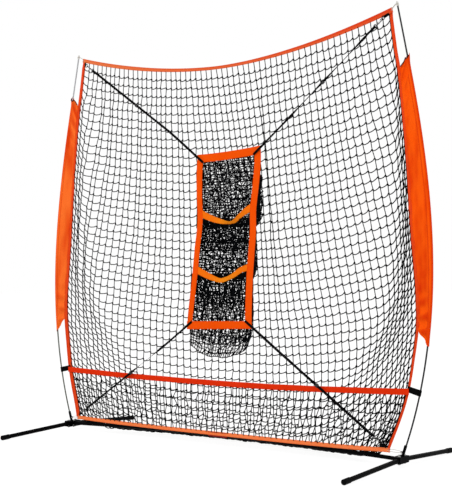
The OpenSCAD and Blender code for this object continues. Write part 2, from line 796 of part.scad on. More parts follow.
crossbar_centre();
left() crossbar_right();  // crossbar_left
crossbar_right();
snap_springs();
left() snap_button();  // left_snap_button
snap_button();  // right_snap_button
left() right_hub();  // left_hub
right_hub();
hub_bolts();
at_pivot(-1, -1) leg();  // left_front_leg
at_pivot(-1, 1) leg();  // left_rear_leg
at_pivot(1, -1) leg();  // right_front_leg
at_pivot(1, 1) leg();  // right_rear_leg
at_pivot(-1, -1) leg_cap();  // left_front_cap
at_pivot(-1, 1) leg_cap();  // left_rear_cap
at_pivot(1, -1) leg_cap();  // right_front_cap
at_pivot(1, 1) leg_cap();  // right_rear_cap
left() pole_part(0);  // left_lower_pole
left() pole_part(1);  // left_middle_pole
left() pole_part(2);  // left_upper_pole
pole_part(0);  // right_lower_pole
pole_part(1);  // right_middle_pole
pole_part(2);  // right_upper_pole
pole_ferrules();
pole_tips();
left() right_wing();  // left_wing
right_wing();
top_trim();
bottom_trim();
left() right_trim();  // left_trim
right_trim();
net_panel();
net_apron();
catch_strap();
pole_wraps();
base_tie();
corner_loops();
corner_ties();
corner_tabs();
corner_rings();
target_frame();
divider(upper_lip);  // upper_divider
divider(lower_lip);  // lower_divider
top_pocket();
middle_pocket();
bottom_pocket();
left() strap(upper_anchor, upper_end, upper_slide);  // upper_left_strap
strap(upper_anchor, upper_end, upper_slide);  // upper_right_strap
left() strap(lower_anchor, lower_end, lower_slide);  // lower_left_strap
strap(lower_anchor, lower_end, lower_slide);  // lower_right_strap
strap_hooks();
left() slider(upper_anchor, upper_end, upper_slide);  // upper_left_slider
slider(upper_anchor, upper_end, upper_slide);  // upper_right_slider
left() slider(lower_anchor, lower_end, lower_slide);  // lower_left_slider
slider(lower_anchor, lower_end, lower_slide);  // lower_right_slider
left() gate(upper_anchor, upper_end);  // upper_left_gate
gate(upper_anchor, upper_end);  // upper_right_gate
left() gate(lower_anchor, lower_end);  // lower_left_gate
gate(lower_anchor, lower_end);  // lower_right_gate
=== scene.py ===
import math

import bmesh
import bpy
import numpy as np
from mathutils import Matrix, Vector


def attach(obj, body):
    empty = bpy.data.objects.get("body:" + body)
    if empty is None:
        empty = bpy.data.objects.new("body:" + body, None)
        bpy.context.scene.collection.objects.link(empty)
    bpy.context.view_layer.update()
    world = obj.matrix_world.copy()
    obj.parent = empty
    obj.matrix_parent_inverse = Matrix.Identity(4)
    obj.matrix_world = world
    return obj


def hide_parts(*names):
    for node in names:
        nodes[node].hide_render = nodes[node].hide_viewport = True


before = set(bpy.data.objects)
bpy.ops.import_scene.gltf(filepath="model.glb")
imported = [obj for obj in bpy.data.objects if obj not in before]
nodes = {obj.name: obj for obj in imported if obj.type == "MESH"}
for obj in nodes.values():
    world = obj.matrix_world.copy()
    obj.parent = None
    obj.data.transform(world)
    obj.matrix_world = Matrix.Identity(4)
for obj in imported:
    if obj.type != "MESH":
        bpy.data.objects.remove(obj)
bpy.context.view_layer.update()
print("frame loaded:", len(nodes), "nodes")


view = {
    "place": (3.3364, -4.4405, 0.8617),
    "turn": 36.516,     # degrees to the left of +Y
    "tilt": 1.816,      # degrees upwards
    "lens": 79.46,
}


def makeCamera():
    data = bpy.data.cameras.new("viewCamera")
    data.lens = view["lens"]
    data.sensor_width = 36
    camera = bpy.data.objects.new("viewCamera", data)
    camera.location = view["place"]
    camera.rotation_euler = (math.radians(90 + view["tilt"]), 0, math.radians(view["turn"]))
    bpy.context.scene.collection.objects.link(camera)
    bpy.context.scene.camera = camera


lighting = {
    "world": 0.60, "aim": (0, 0, 1.0),
    "key": {"place": (-2.5, -5.5, 5.0), "size": 4.0, "power": 170},
    "fill": {"place": (5.0, -2.5, 3.0), "size": 3.5, "power": 60},
    "back": {"place": (0.5, 5.0, 4.0), "size": 4.0, "power": 70},
    "floorShare": 0.80,     # how much of the floor's white is its own, seen directly
    "floorGlow": 1.14, "floorReach": 40, "floorBack": 60,
}


def makeLight(name, place, size, power):
    data = bpy.data.lights.new(name, "AREA")
    data.size = size
    data.energy = power
    lamp = bpy.data.objects.new(name, data)
    lamp.location = place
    away = Vector(lighting["aim"]) - Vector(place)
    lamp.rotation_euler = away.to_track_quat("-Z", "Y").to_euler()
    bpy.context.scene.collection.objects.link(lamp)


def addNode(tree, kind, inputs=None, **settings):
    node = tree.nodes.new(kind)
    for label, value in settings.items():
        setattr(node, label, value)
    for label, value in (inputs or {}).items():
        if isinstance(value, bpy.types.NodeSocket):
            tree.links.new(value, node.inputs[label])
        else:
            node.inputs[label].default_value = value
    return node


def mathNode(tree, operation, *values):
    return addNode(tree, "ShaderNodeMath", dict(enumerate(values)), operation=operation).outputs[0]


def seenDirectly(tree):
    # 1 for rays from the camera, from gloss and through clear things
    ray = tree.nodes.new("ShaderNodeLightPath").outputs
    most = mathNode(tree, "MAXIMUM", ray["Is Camera Ray"], ray["Is Glossy Ray"])
    return mathNode(tree, "MAXIMUM", most, ray["Is Transmission Ray"])


def makeWorld():
    world = bpy.data.worlds.new("studio")
    world.use_nodes = True
    bpy.context.scene.world = world
    tree = world.node_tree
    background = tree.nodes["Background"]
    background.inputs["Color"].default_value = (1, 1, 1, 1)
    strength = addNode(tree, "ShaderNodeMapRange", {
        "Value": seenDirectly(tree), "To Min": lighting["world"], "To Max": 1.0})
    tree.links.new(strength.outputs["Result"], background.inputs["Strength"])


def makeFloor():
    mesh = bpy.data.meshes.new("floor")
    reach, back = lighting["floorReach"], lighting["floorBack"]
    mesh.from_pydata([(-reach, -reach, 0), (reach, -reach, 0), (reach, back, 0), (-reach, back, 0)],
                     [], [(0, 1, 2, 3)])
    floor = bpy.data.objects.new("floor", mesh)
    bpy.context.scene.collection.objects.link(floor)
    material = bpy.data.materials.new("paleFloor")
    material.use_nodes = True
    tree = material.node_tree
    tree.nodes.remove(tree.nodes["Principled BSDF"])
    matt = addNode(tree, "ShaderNodeBsdfDiffuse", {"Color": (0.9, 0.9, 0.9, 1)})
    glow = addNode(tree, "ShaderNodeEmission", {
        "Color": (1, 1, 1, 1), "Strength": lighting["floorGlow"]})
    share = mathNode(tree, "MULTIPLY", seenDirectly(tree), lighting["floorShare"])
    mix = addNode(tree, "ShaderNodeMixShader", {0: share, 1: matt.outputs[0], 2: glow.outputs[0]})
    tree.links.new(mix.outputs[0], tree.nodes["Material Output"].inputs["Surface"])
    mesh.materials.append(material)


makeCamera()
makeWorld()
makeFloor()
for lampName in ("key", "fill", "back"):
    makeLight(lampName, **lighting[lampName])
bpy.context.scene.view_settings.view_transform = "Standard"
print("camera, lights and floor made")


def linear(red, green, blue):
    # screen colour from 0 to 255 as the shader wants it
    def one(value):
        value /= 255
        return value / 12.92 if value <= 0.04045 else ((value + 0.055) / 1.055) ** 2.4
    return (one(red), one(green), one(blue), 1)


def startGroup(name, inputs, results, kind="Shader"):
    group = bpy.data.node_groups.new(name, kind + "NodeTree")
    for way, sockets in (("INPUT", inputs), ("OUTPUT", results)):
        for label, socket in sockets.items():
            group.interface.new_socket(label, in_out=way, socket_type="NodeSocket" + socket)
    return (group, group.nodes.new("NodeGroupInput").outputs,
            group.nodes.new("NodeGroupOutput").inputs)


def splitNode(tree, vector):
    split = tree.nodes.new("ShaderNodeSeparateXYZ")
    tree.links.new(vector, split.inputs[0])
    return split.outputs


def noiseNode(tree, vector, scale, detail):
    return addNode(tree, "ShaderNodeTexNoise",
                   {"Vector": vector, "Scale": scale, "Detail": detail}).outputs["Fac"]


def contrastNode(tree, value, low, high):
    return addNode(tree, "ShaderNodeMapRange",
                   {"Value": value, "From Min": low, "From Max": high}).outputs["Result"]


def mixNode(tree, first, second, share, blend="MIX"):
    return addNode(tree, "ShaderNodeMix", {"Factor": share, "A": first, "B": second},
                   data_type="RGBA", blend_type=blend).outputs["Result"]


def buildTintGroup():
    # two noises, one in broad patches and one in fine specks, turn one colour into another
    group, given, out = startGroup(
        "tint", {"Vector": "Vector", "Colour": "Color", "Other": "Color", "Patches": "Float",
                 "Specks": "Float", "Amount": "Float"}, {"Colour": "Color", "Mask": "Float"})
    broad = contrastNode(group, noiseNode(group, given["Vector"], given["Patches"], 3), 0.35, 0.65)
    fine = contrastNode(group, noiseNode(group, given["Vector"], given["Specks"], 2), 0.3, 0.7)
    mask = mathNode(group, "MULTIPLY_ADD", broad, 0.65, mathNode(group, "MULTIPLY", fine, 0.35))
    share = mathNode(group, "MULTIPLY", mask, given["Amount"])
    group.links.new(mixNode(group, given["Colour"], given["Other"], share), out["Colour"])
    group.links.new(mask, out["Mask"])
    return group


def buildWeaveGroup():
    # plain weave: threads that pass over and under each other, one pitch apart
    group, given, out = startGroup(
        "weave", {"Vector": "Vector", "Pitch": "Float", "Slub": "Float"},
        {"Height": "Float", "Gap": "Float"})
    split = splitNode(group, given["Vector"])
    waves = []
    for axis in ("X", "Y"):
        turns = mathNode(group, "DIVIDE", split[axis], given["Pitch"])
        waves.append(mathNode(group, "SINE", mathNode(group, "MULTIPLY", turns, math.pi)))
    cross = mathNode(group, "MULTIPLY", *waves)
    slub = noiseNode(group, given["Vector"], 700, 2)
    uneven = mathNode(group, "MULTIPLY", slub, given["Slub"])
    height = mathNode(group, "ADD", mathNode(group, "MULTIPLY_ADD", cross, 0.5, 0.5), uneven)
    group.links.new(height, out["Height"])
    group.links.new(contrastNode(group, mathNode(group, "ABSOLUTE", cross), 0.35, 0.0), out["Gap"])
    return group


def buildTwistGroup():
    # strands laid round a cord: x runs along the cord in metres and y once round it
    group, given, out = startGroup(
        "twist", {"Vector": "Vector", "Pitch": "Float", "Strands": "Float"}, {"Height": "Float"})
    split = splitNode(group, given["Vector"])
    along = mathNode(group, "DIVIDE", split["X"], given["Pitch"])
    around = mathNode(group, "MULTIPLY", split["Y"], given["Strands"])
    turns = mathNode(group, "MULTIPLY", mathNode(group, "ADD", along, around), 2 * math.pi)
    group.links.new(mathNode(group, "MULTIPLY_ADD", mathNode(group, "SINE", turns), 0.5, 0.5),
                    out["Height"])
    return group


tintGroup = buildTintGroup()
weaveGroup = buildWeaveGroup()
twistGroup = buildTwistGroup()


def startMaterial(name, roughness, gloss, metallic=0.0):
    material = bpy.data.materials.new(name)
    material.use_nodes = True
    shader = material.node_tree.nodes["Principled BSDF"]
    shader.inputs["Roughness"].default_value = roughness[0]
    shader.inputs["Metallic"].default_value = metallic
    shader.inputs["Specular IOR Level"].default_value = gloss
    return material, material.node_tree, shader


def dress(tree, shader, vector, colours, patches, specks, amount, roughness):
    # two-tone colour, and a roughness that wanders between two values
    tint = addNode(tree, "ShaderNodeGroup", {
        "Vector": vector, "Colour": linear(*colours[0]), "Other": linear(*colours[1]),
        "Patches": patches, "Specks": specks, "Amount": amount}, node_tree=tintGroup)
    rough = addNode(tree, "ShaderNodeMapRange", {
        "Value": tint.outputs["Mask"], "To Min": roughness[0], "To Max": roughness[1]})
    tree.links.new(rough.outputs["Result"], shader.inputs["Roughness"])
    tree.links.new(tint.outputs["Colour"], shader.inputs["Base Color"])
    return tint.outputs["Colour"]


def bump(tree, shader, height, strength, distance):
    skin = addNode(tree, "ShaderNodeBump", {
        "Height": height, "Strength": strength, "Distance": distance})
    tree.links.new(skin.outputs["Normal"], shader.inputs["Normal"])


def solidMaterial(name, colours, roughness, patches, specks, amount, metallic=0.0, grain=900,
                  relief=0.00015, gloss=0.3):
    # painted, moulded or plated: colour in object space with a fine skin
    material, tree, shader = startMaterial(name, roughness, gloss, metallic)
    where = tree.nodes.new("ShaderNodeTexCoord").outputs["Object"]
    dress(tree, shader, where, colours, patches, specks, amount, roughness)
    bump(tree, shader, noiseNode(tree, where, grain, 2), 0.5, relief)
    return material


def clothMaterial(name, colours, pitch, relief=0.0003, gloss=0.1, shadingAndTone=None, glow=None):
    # woven: colour and threads follow the cloth's own map, which is in metres
    roughness = (0.55, 0.8)
    material, tree, shader = startMaterial(name, roughness, gloss)
    cloth = addNode(tree, "ShaderNodeUVMap", uv_map="cloth").outputs["UV"]
    weave = addNode(tree, "ShaderNodeGroup", {"Vector": cloth, "Pitch": pitch, "Slub": 0.35},
                    node_tree=weaveGroup).outputs
    tinted = dress(tree, shader, cloth, colours, 9, 260, 0.5, roughness)
    gaps = mathNode(tree, "MULTIPLY", weave["Gap"], 0.35)
    colour = mixNode(tree, tinted, (0.55, 0.5, 0.5, 1), gaps, "MULTIPLY")
    if shadingAndTone:
        # the fold attribute draws in a second colour: painted shade in the wings' creases and sleeves,
        # painted light on the top trim's lower half and along the lips' middles, and a plain change of
        # tone along the top trim and the sleeves' seams
        fold = addNode(tree, "ShaderNodeAttribute", attribute_name="fold").outputs["Fac"]
        colour = mixNode(tree, colour, linear(*shadingAndTone), fold)
    tree.links.new(colour, shader.inputs["Base Color"])
    bump(tree, shader, weave["Height"], 0.6, relief)
    if glow:
        # painted glow: a little emission makes the cloth brighter than its light allows
        shader.inputs["Emission Color"].default_value = linear(*glow[0])
        shader.inputs["Emission Strength"].default_value = glow[1]
    return material


def twineMaterial(name, colours, pitch, strands, relief=0.0004, gloss=0.15):
    # laid or braided cord: strands follow the cord's own map
    roughness = (0.6, 0.85)
    material, tree, shader = startMaterial(name, roughness, gloss)
    lay = addNode(tree, "ShaderNodeAttribute", attribute_name="lay").outputs["Vector"]
    twist = addNode(tree, "ShaderNodeGroup", {"Vector": lay, "Pitch": pitch, "Strands": strands},
                    node_tree=twistGroup)
    where = tree.nodes.new("ShaderNodeTexCoord").outputs["Object"]
    dress(tree, shader, where, colours, 14, 500, 0.7, roughness)
    bump(tree, shader, twist.outputs["Height"], 0.7, relief)
    return material


# colours are pairs from 0 to 255: the main one and the one it wanders to
powderCoat = solidMaterial("powderCoat", ((1, 1, 2), (8, 8, 9)), (0.42, 0.58), 12, 400, 0.5,
                           grain=1400, relief=0.0001, gloss=0.02)
zincPlate = solidMaterial("zincPlate", ((150, 150, 148), (190, 190, 186)), (0.28, 0.45), 60, 900,
                          0.6, metallic=1.0)
blackPlate = solidMaterial("blackPlate", ((5, 5, 6), (20, 20, 22)), (0.35, 0.5), 60, 900, 0.6,
                           gloss=0.1)
capRubber = solidMaterial("capRubber", ((2, 2, 3), (11, 11, 12)), (0.6, 0.8), 30, 600, 0.5,
                          grain=2200, relief=0.0002, gloss=0.04)
poleGlass, paleGlass, greyGlass = (
    solidMaterial(name, colours, (0.34, 0.46), 8, 300, 0.6, gloss=0.2)
    for name, colours in (("poleGlass", ((26, 27, 28), (52, 54, 55))),
                          ("paleGlass", ((164, 166, 169), (198, 200, 202))),
                          ("greyGlass", ((92, 97, 89), (126, 130, 122)))))
tipPlastic = solidMaterial("tipPlastic", ((198, 196, 190), (226, 224, 220)), (0.4, 0.55), 40, 500,
                           0.5)
sliderPlastic = solidMaterial("sliderPlastic", ((22, 22, 23), (40, 40, 42)), (0.38, 0.5), 60, 900,
                              0.5)
# the wings' second colour is painted shade in their creases and sleeves, and their emission is a
# painted glow
rightCloth = clothMaterial("rightCloth", ((255, 94, 8), (252, 78, 2)), 0.0007, gloss=0.03,
                           shadingAndTone=(214, 48, 0), glow=((255, 84, 6), 0.06))
leftCloth = clothMaterial("leftCloth", ((255, 116, 42), (250, 98, 26)), 0.0007, gloss=0.04,
                          shadingAndTone=(222, 62, 6), glow=((255, 96, 20), 0.04))
trimCloth = clothMaterial("trimCloth", ((240, 72, 18), (216, 52, 10)), 0.0008)
# the top trim's second colour: lighter towards the left, and a painted highlight along its lower half
topTrimCloth = clothMaterial("topTrimCloth", ((232, 68, 18), (212, 54, 10)), 0.0008,
                             shadingAndTone=(232, 126, 70))
# painted glow: the bottom trim's emission lifts it beyond its light
bottomTrimCloth = clothMaterial("bottomTrimCloth", ((255, 138, 80), (253, 116, 52)), 0.0008,
                                gloss=0.05, glow=((255, 120, 60), 0.07))
catchWebbing = clothMaterial("catchWebbing", ((238, 52, 4), (214, 40, 2)), 0.0016, 0.0005, 0.05)
bandCloth = clothMaterial("bandCloth", ((252, 88, 2), (244, 72, 0)), 0.0009, 0.0004, 0.03)
# the lips' second colour is painted light along their middles
lipCloth = clothMaterial("lipCloth", ((255, 120, 8), (250, 102, 2)), 0.0009, 0.0004, 0.04,
                         shadingAndTone=(252, 146, 22))
tieCloth = clothMaterial("tieCloth", ((160, 30, 18), (128, 22, 14)), 0.0012)
blackWebbing = clothMaterial("blackWebbing", ((1, 1, 2), (9, 9, 10)), 0.0014, 0.0005, 0.03)
netTwine = twineMaterial("netTwine", ((3, 3, 4), (16, 16, 18)), 0.006, 3, gloss=0.05)
pocketTwine = twineMaterial("pocketTwine", ((1, 2, 4), (12, 14, 18)), 0.005, 3, gloss=0.04)
paleCord = twineMaterial("paleCord", ((196, 190, 178), (226, 222, 212)), 0.004, 4)
# dark cord that is painted shade inside the sleeves' mouths
mouthShadeCord = twineMaterial("mouthShadeCord", ((62, 14, 12), (104, 26, 18)), 0.004, 4, gloss=0.05)
orangeThread = twineMaterial("orangeThread", ((196, 44, 8), (224, 62, 18)), 0.002, 2, relief=0.0001)
print("materials made")


def each(pattern):
    # names of the four corners' nodes of one kind
    return [pattern.format(a, b) for a in ("upper", "lower") for b in ("left", "right")]


def eachLeg(kind):
    return [f"{side}_{end}_{kind}" for side in ("left", "right") for end in ("front", "rear")]


finishes = [
    (powderCoat, ["crossbar_centre", "crossbar_left", "crossbar_right", "left_hub", "right_hub",
                  *eachLeg("leg")]),
    (zincPlate, ["hub_bolts", "snap_springs", "left_snap_button", "right_snap_button",
                 *each("{}_{}_gate")]),
    (blackPlate, ["strap_hooks", "corner_rings"]),
    (capRubber, eachLeg("cap")),
    (tipPlastic, ["pole_tips"]),
    (sliderPlastic, each("{}_{}_slider")),
]
for finish, names in finishes:
    for name in names:
        slots = nodes[name].data.materials
        slots.clear()
        slots.append(finish)
print("steel parts finished")


outline = {
    "cornerX": 0.995, "topZ": 2.122, "topSag": 0.152, "topPower": 1.84,
    "bottomZ": 0.064, "trimWidth": 0.020, "trimThickness": 0.0024, "bottomDip": 0.008,
    "catchZ": 0.345, "catchSag": 0.025, "catchWidth": 0.029,
    # by height: the trims' outer edge, how far they turn in degrees, and their width
    "side": [(0.040, 0.980), (0.072, 0.990), (0.300, 1.070), (0.480, 1.105), (0.700, 1.128),
             (1.100, 1.099), (1.500, 1.071), (1.830, 1.037), (1.920, 1.021), (2.112, 0.994),
             (2.160, 0.987)],
    "turn": [(0.05, 26), (0.25, 32), (0.60, 28), (0.90, 14), (1.50, 8), (1.90, 0), (2.16, 0)],
    "sideWidth": [(0.05, 0.025), (0.60, 0.024), (1.50, 0.020), (2.16, 0.018)],
    "pole": (1.041, 1.316, 1.170, 1.020), "leftPole": (1.041, 1.308, 1.147, 1.020),
    "poleFoot": 0.030, "poleTop": 2.150, "poleBack": 0.020,
}


def cubic(points, t):
    return (points[0] * (1 - t) ** 3 + 3 * points[1] * t * (1 - t) ** 2
            + 3 * points[2] * t * t * (1 - t) + points[3] * t ** 3)


def through(knots, at):
    # smooth curve through a few given points
    knots = np.array(knots, float)
    i = np.clip(np.searchsorted(knots[:, 0], at, side="right") - 1, 0, len(knots) - 2)
    padded = np.concatenate([knots[:1], knots, knots[-1:]])
    slope = (padded[2:, 1] - padded[:-2, 1]) / (padded[2:, 0] - padded[:-2, 0])
    span = knots[i + 1, 0] - knots[i, 0]
    t = (np.asarray(at) - knots[i, 0]) / span
    return (knots[i, 1] * (2 * t ** 3 - 3 * t ** 2 + 1)
            + slope[i] * span * (t ** 3 - 2 * t ** 2 + t)
            + knots[i + 1, 1] * (3 * t ** 2 - 2 * t ** 3)
            + slope[i + 1] * span * (t ** 3 - t ** 2))


def sideX(z):
    # outer edge of the side trims
    return through(outline["side"], z)


def sideTurn(z):
    # the net pulls the inner edge of the side trims backwards, most of all low down
    return np.radians(through(outline["turn"], z))


def planeY(z):
    # the net's plane leans back and curls forward at its foot
    return 0.020 + np.asarray(z) / 350 - 0.049 * np.exp(-np.asarray(z) / 0.170)


def topEdge(x):
    middle = 1 - np.abs(x / outline["cornerX"]) ** outline["topPower"]
    return outline["topZ"] - outline["topSag"] * middle


def bottomDip(x):
    return outline["bottomDip"] * (1 - np.clip(np.abs(x) / 0.95, 0, 1) ** 4)


def catchZ(x):
    middle = 1 - (x / sideX(outline["catchZ"])) ** 2
    return outline["catchZ"] - outline["catchSag"] * middle - 0.005 * np.clip(-x, 0, 1) ** 2


def polePoint(t, side=1):
    t = np.asarray(t, float)
    # the left pole bows less high up
    bow = outline["pole"] if side > 0 else outline["leftPole"]
    foot, top = outline["poleFoot"], outline["poleTop"]
    return np.stack([side * cubic(bow, t), outline["poleBack"] * t, foot + (top - foot) * t], -1)


def poleAt(z, side=1):
    foot, top = outline["poleFoot"], outline["poleTop"]
    return polePoint((np.asarray(z) - foot) / (top - foot), side)


def mirrored(points, side=-1):
    # side is 1 for the right half, where the points already are, and -1 for the left
    return np.asarray(points) * np.array([side, 1.0, 1.0])


def sideName(side):
    return "right" if side > 0 else "left"


def unit(vectors):
    return vectors / np.maximum(np.linalg.norm(vectors, axis=-1, keepdims=True), 1e-12)


def lengths(points):
    return np.r_[0, np.cumsum(np.linalg.norm(np.diff(points, axis=0), axis=1))]


def evenly(points, count):
    along = lengths(points)
    steps = np.linspace(0, along[-1], count)
    return np.stack([np.interp(steps, along, points[:, k]) for k in range(3)], 1)


def fromEdge(count):
    # how many places each one of a row is from the nearer end
    return np.minimum(np.arange(count), np.arange(count)[::-1])


def smoothNoise(points, seed, wave, octaves=3):
    # soft unevenness between -1 and 1, made of a few crossing waves
    rng = np.random.default_rng(seed)
    total = np.zeros(points.shape[:-1])
    weight = 0
    for octave in range(octaves):
        for _ in range(4):
            way = unit(rng.normal(size=3))
            turns = (points @ way * (2 * math.pi / wave * 1.9 ** octave)
                     + rng.uniform(0, 2 * math.pi))
            total += np.sin(turns) * 0.6 ** octave
        weight += 2 * 0.6 ** octave
    return total / weight


def addObject(name, mesh):
    piece = bpy.data.objects.new(name, mesh)
    bpy.context.scene.collection.objects.link(piece)
    return piece


def place(piece, slot, *standsFor):
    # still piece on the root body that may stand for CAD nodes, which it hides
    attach(piece, "root")
    if standsFor:
        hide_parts(*standsFor)
    return piece


def finishMesh(piece, material, outwards=True):
    mesh = piece.data
    if outwards:
        shape = bmesh.new()
        shape.from_mesh(mesh)
        bmesh.ops.recalc_face_normals(shape, faces=shape.faces)
        shape.to_mesh(mesh)
        shape.free()
    mesh.materials.clear()
    mesh.materials.append(material)
    mesh.shade_smooth()
    mesh.set_sharp_from_angle(angle=math.radians(50))
    return piece


def gridMesh(name, grid, closed=False):
    # quads over rows of points, with a cloth map in metres; a closed grid is a capped tube
    rows, cols = grid.shape[:2]
    around = np.zeros((rows, cols + 1))
    wrapped = np.concatenate([grid, grid[:, :1]], 1)
    around[:, 1:] = np.cumsum(np.linalg.norm(np.diff(wrapped, axis=1), axis=2), axis=1)
    along = lengths(grid.mean(1))
    faces, map_ = [], []
    for j in range(rows - 1):
        for i in range(cols if closed else cols - 1):
            k = (i + 1) % cols
            faces.append((j * cols + i, j * cols + k, (j + 1) * cols + k, (j + 1) * cols + i))
            map_ += [(along[j], around[j, i]), (along[j], around[j, i + 1]),
                     (along[j + 1], around[j + 1, i + 1]), (along[j + 1], around[j + 1, i])]
    for j in (0, rows - 1) if closed else ():
        faces.append(list(range(j * cols, (j + 1) * cols)))
        map_ += [(along[j], around[j, i]) for i in range(cols)]
    mesh = bpy.data.meshes.new(name)
    mesh.from_pydata(grid.reshape(-1, 3).tolist(), [], faces)
    layer = mesh.uv_layers.new(name="cloth")
    layer.data.foreach_set("uv", np.array(map_, np.float32).ravel())
    return mesh


def bake(piece):
    # turns the modifiers' result into a plain mesh
    graph = bpy.context.evaluated_depsgraph_get()
    mesh = bpy.data.meshes.new_from_object(piece.evaluated_get(graph), depsgraph=graph)
    piece.modifiers.clear()
    old = piece.data
    piece.data = mesh
    bpy.data.meshes.remove(old)
    return piece


def pathFrames(path, turn=0.0):
    # directions across and out of a band whose face looks to the front, turned about its path
    along = unit(np.gradient(path, axis=0))
    across = unit(np.cross(np.broadcast_to((0, -1.0, 0), path.shape), along))
    out = np.cross(along, across)
    turn = np.broadcast_to(turn, len(path))[:, None]
    return across * np.cos(turn) + out * np.sin(turn), out * np.cos(turn) - across * np.sin(turn)


def carry(name, path, rings, across, out, material):
    # closed section carried along a path; its x is across and its y is out
    grid = path[:, None] + across * rings[..., :1] + out[:, None] * rings[..., 1:]
    return finishMesh(addObject(name, gridMesh(name, grid, closed=True)), material)


def sweep(name, path, section, material, turn=0.0, scale=1.0):
    across, out = pathFrames(path, turn)
    rings = np.asarray(section)[None] * (np.ones((len(path), 1, 1)) * scale)
    return carry(name, path, rings, across[:, None], out, material)


def ribbon(name, path, across, width, thickness, material):
    # flat webbing whose width lies along one direction wherever its path bends
    across = unit(np.array(across, float))
    out = unit(np.cross(unit(np.gradient(path, axis=0)), across))
    return carry(name, path, flat(width, thickness, 5), across, out, material)


def circle(radius, sides=16):
    turn = np.linspace(0, 2 * math.pi, sides, endpoint=False)
    return np.stack([radius * np.cos(turn), radius * np.sin(turn)], 1)


def flat(width, thickness, corner=6):
    # outline of a band with round edges
    half = thickness / 2
    turn = np.linspace(-math.pi / 2, math.pi / 2, corner)
    right = np.stack([width / 2 - half + half * np.cos(turn), half * np.sin(turn)], 1)
    mid = np.linspace(width / 2 - half, half - width / 2, 6)[1:-1]
    top = np.stack([mid, np.full_like(mid, half)], 1)
    return np.concatenate([right, top, -right, -top])


def joinPieces(name, pieces):
    first = pieces[0]
    with bpy.context.temp_override(active_object=first, selected_editable_objects=pieces):
        bpy.ops.object.join()
    first.name = name
    first.data.name = name
    return first


def finishTree(tree, geometry, material, out):
    smooth = addNode(tree, "GeometryNodeSetShadeSmooth", {"Geometry": geometry})
    coated = addNode(tree, "GeometryNodeSetMaterial", {
        "Geometry": smooth.outputs["Geometry"], "Material": material})
    tree.links.new(coated.outputs["Geometry"], out["Geometry"])
    return tree


def keepOnCurve(tree, curve, label, value):
    # a value of the curve's points that lasts until they are a mesh
    keep = addNode(tree, "GeometryNodeCaptureAttribute", {"Geometry": curve.outputs["Curve"]})
    keep.capture_items.new("FLOAT", label)
    tree.links.new(value, keep.inputs[label])
    return keep.outputs


def buildTwineTree():
    # tubes along every path of edges, and a knot on every marked point
    tree, given, out = startGroup(
        "twine", {"Geometry": "Geometry", "Radius": "Float", "Sides": "Int", "Knot": "Float",
                  "Material": "Material"}, {"Geometry": "Geometry"}, "Geometry")
    marked = addNode(tree, "GeometryNodeInputNamedAttribute", {"Name": "knot"}, data_type="BOOLEAN")
    parts = addNode(tree, "GeometryNodeSeparateGeometry", {
        "Geometry": given["Geometry"], "Selection": marked.outputs["Attribute"]})
    curve = addNode(tree, "GeometryNodeMeshToCurve", {"Mesh": parts.outputs["Inverted"]})
    spline = addNode(tree, "GeometryNodeSplineParameter").outputs
    length = keepOnCurve(tree, curve, "Length", spline["Length"])
    ring = addNode(tree, "GeometryNodeCurvePrimitiveCircle", {
        "Resolution": given["Sides"], "Radius": given["Radius"]})
    turn = keepOnCurve(tree, ring, "Turn", spline["Factor"])
    tube = addNode(tree, "GeometryNodeCurveToMesh", {
        "Curve": length["Geometry"], "Profile Curve": turn["Geometry"], "Fill Caps": True})
    lay = addNode(tree, "ShaderNodeCombineXYZ", {"X": length["Length"], "Y": turn["Turn"]})
    stored = addNode(tree, "GeometryNodeStoreNamedAttribute", {
        "Geometry": tube.outputs["Mesh"], "Name": "lay", "Value": lay.outputs[0]},
        data_type="FLOAT_VECTOR", domain="POINT")
    ball = addNode(tree, "GeometryNodeMeshIcoSphere", {"Radius": given["Knot"], "Subdivisions": 1})
    spun = addNode(tree, "FunctionNodeRandomValue", {"Max": (0.5, 0.5, math.pi), "Seed": 3},
                   data_type="FLOAT_VECTOR")
    knots = addNode(tree, "GeometryNodeInstanceOnPoints", {
        "Points": parts.outputs["Selection"], "Instance": ball.outputs["Mesh"],
        "Rotation": spun.outputs["Value"], "Scale": (1.0, 1.0, 1.35)})
    real = addNode(tree, "GeometryNodeRealizeInstances", {"Geometry": knots.outputs["Instances"]})
    both = addNode(tree, "GeometryNodeJoinGeometry")
    for part in (real, stored):
        tree.links.new(part.outputs["Geometry"], both.inputs["Geometry"])
    return finishTree(tree, both.outputs["Geometry"], given["Material"], out)


def buildStitchTree():
    # short rounded threads at an even spacing along every path of edges
    tree, given, out = startGroup(
        "stitches", {"Geometry": "Geometry", "Spacing": "Float", "Length": "Float", "Radius": "Float",
                     "Material": "Material"}, {"Geometry": "Geometry"}, "Geometry")
    curve = addNode(tree, "GeometryNodeMeshToCurve", {"Mesh": given["Geometry"]})
    points = addNode(tree, "GeometryNodeCurveToPoints", {
        "Curve": curve.outputs["Curve"], "Length": given["Spacing"]}, mode="LENGTH").outputs
    size = addNode(tree, "ShaderNodeCombineXYZ", {
        "X": given["Radius"], "Y": given["Radius"],
        "Z": mathNode(tree, "MULTIPLY", given["Length"], 0.5)})
    ball = addNode(tree, "GeometryNodeMeshIcoSphere", {"Radius": 1.0, "Subdivisions": 1})
    threads = addNode(tree, "GeometryNodeInstanceOnPoints", {
        "Points": points["Points"], "Instance": ball.outputs["Mesh"],
        "Rotation": points["Rotation"], "Scale": size.outputs[0]})
    real = addNode(tree, "GeometryNodeRealizeInstances", {"Geometry": threads.outputs["Instances"]})
    return finishTree(tree, real.outputs["Geometry"], given["Material"], out)


twineTree = buildTwineTree()
stitchTree = buildStitchTree()


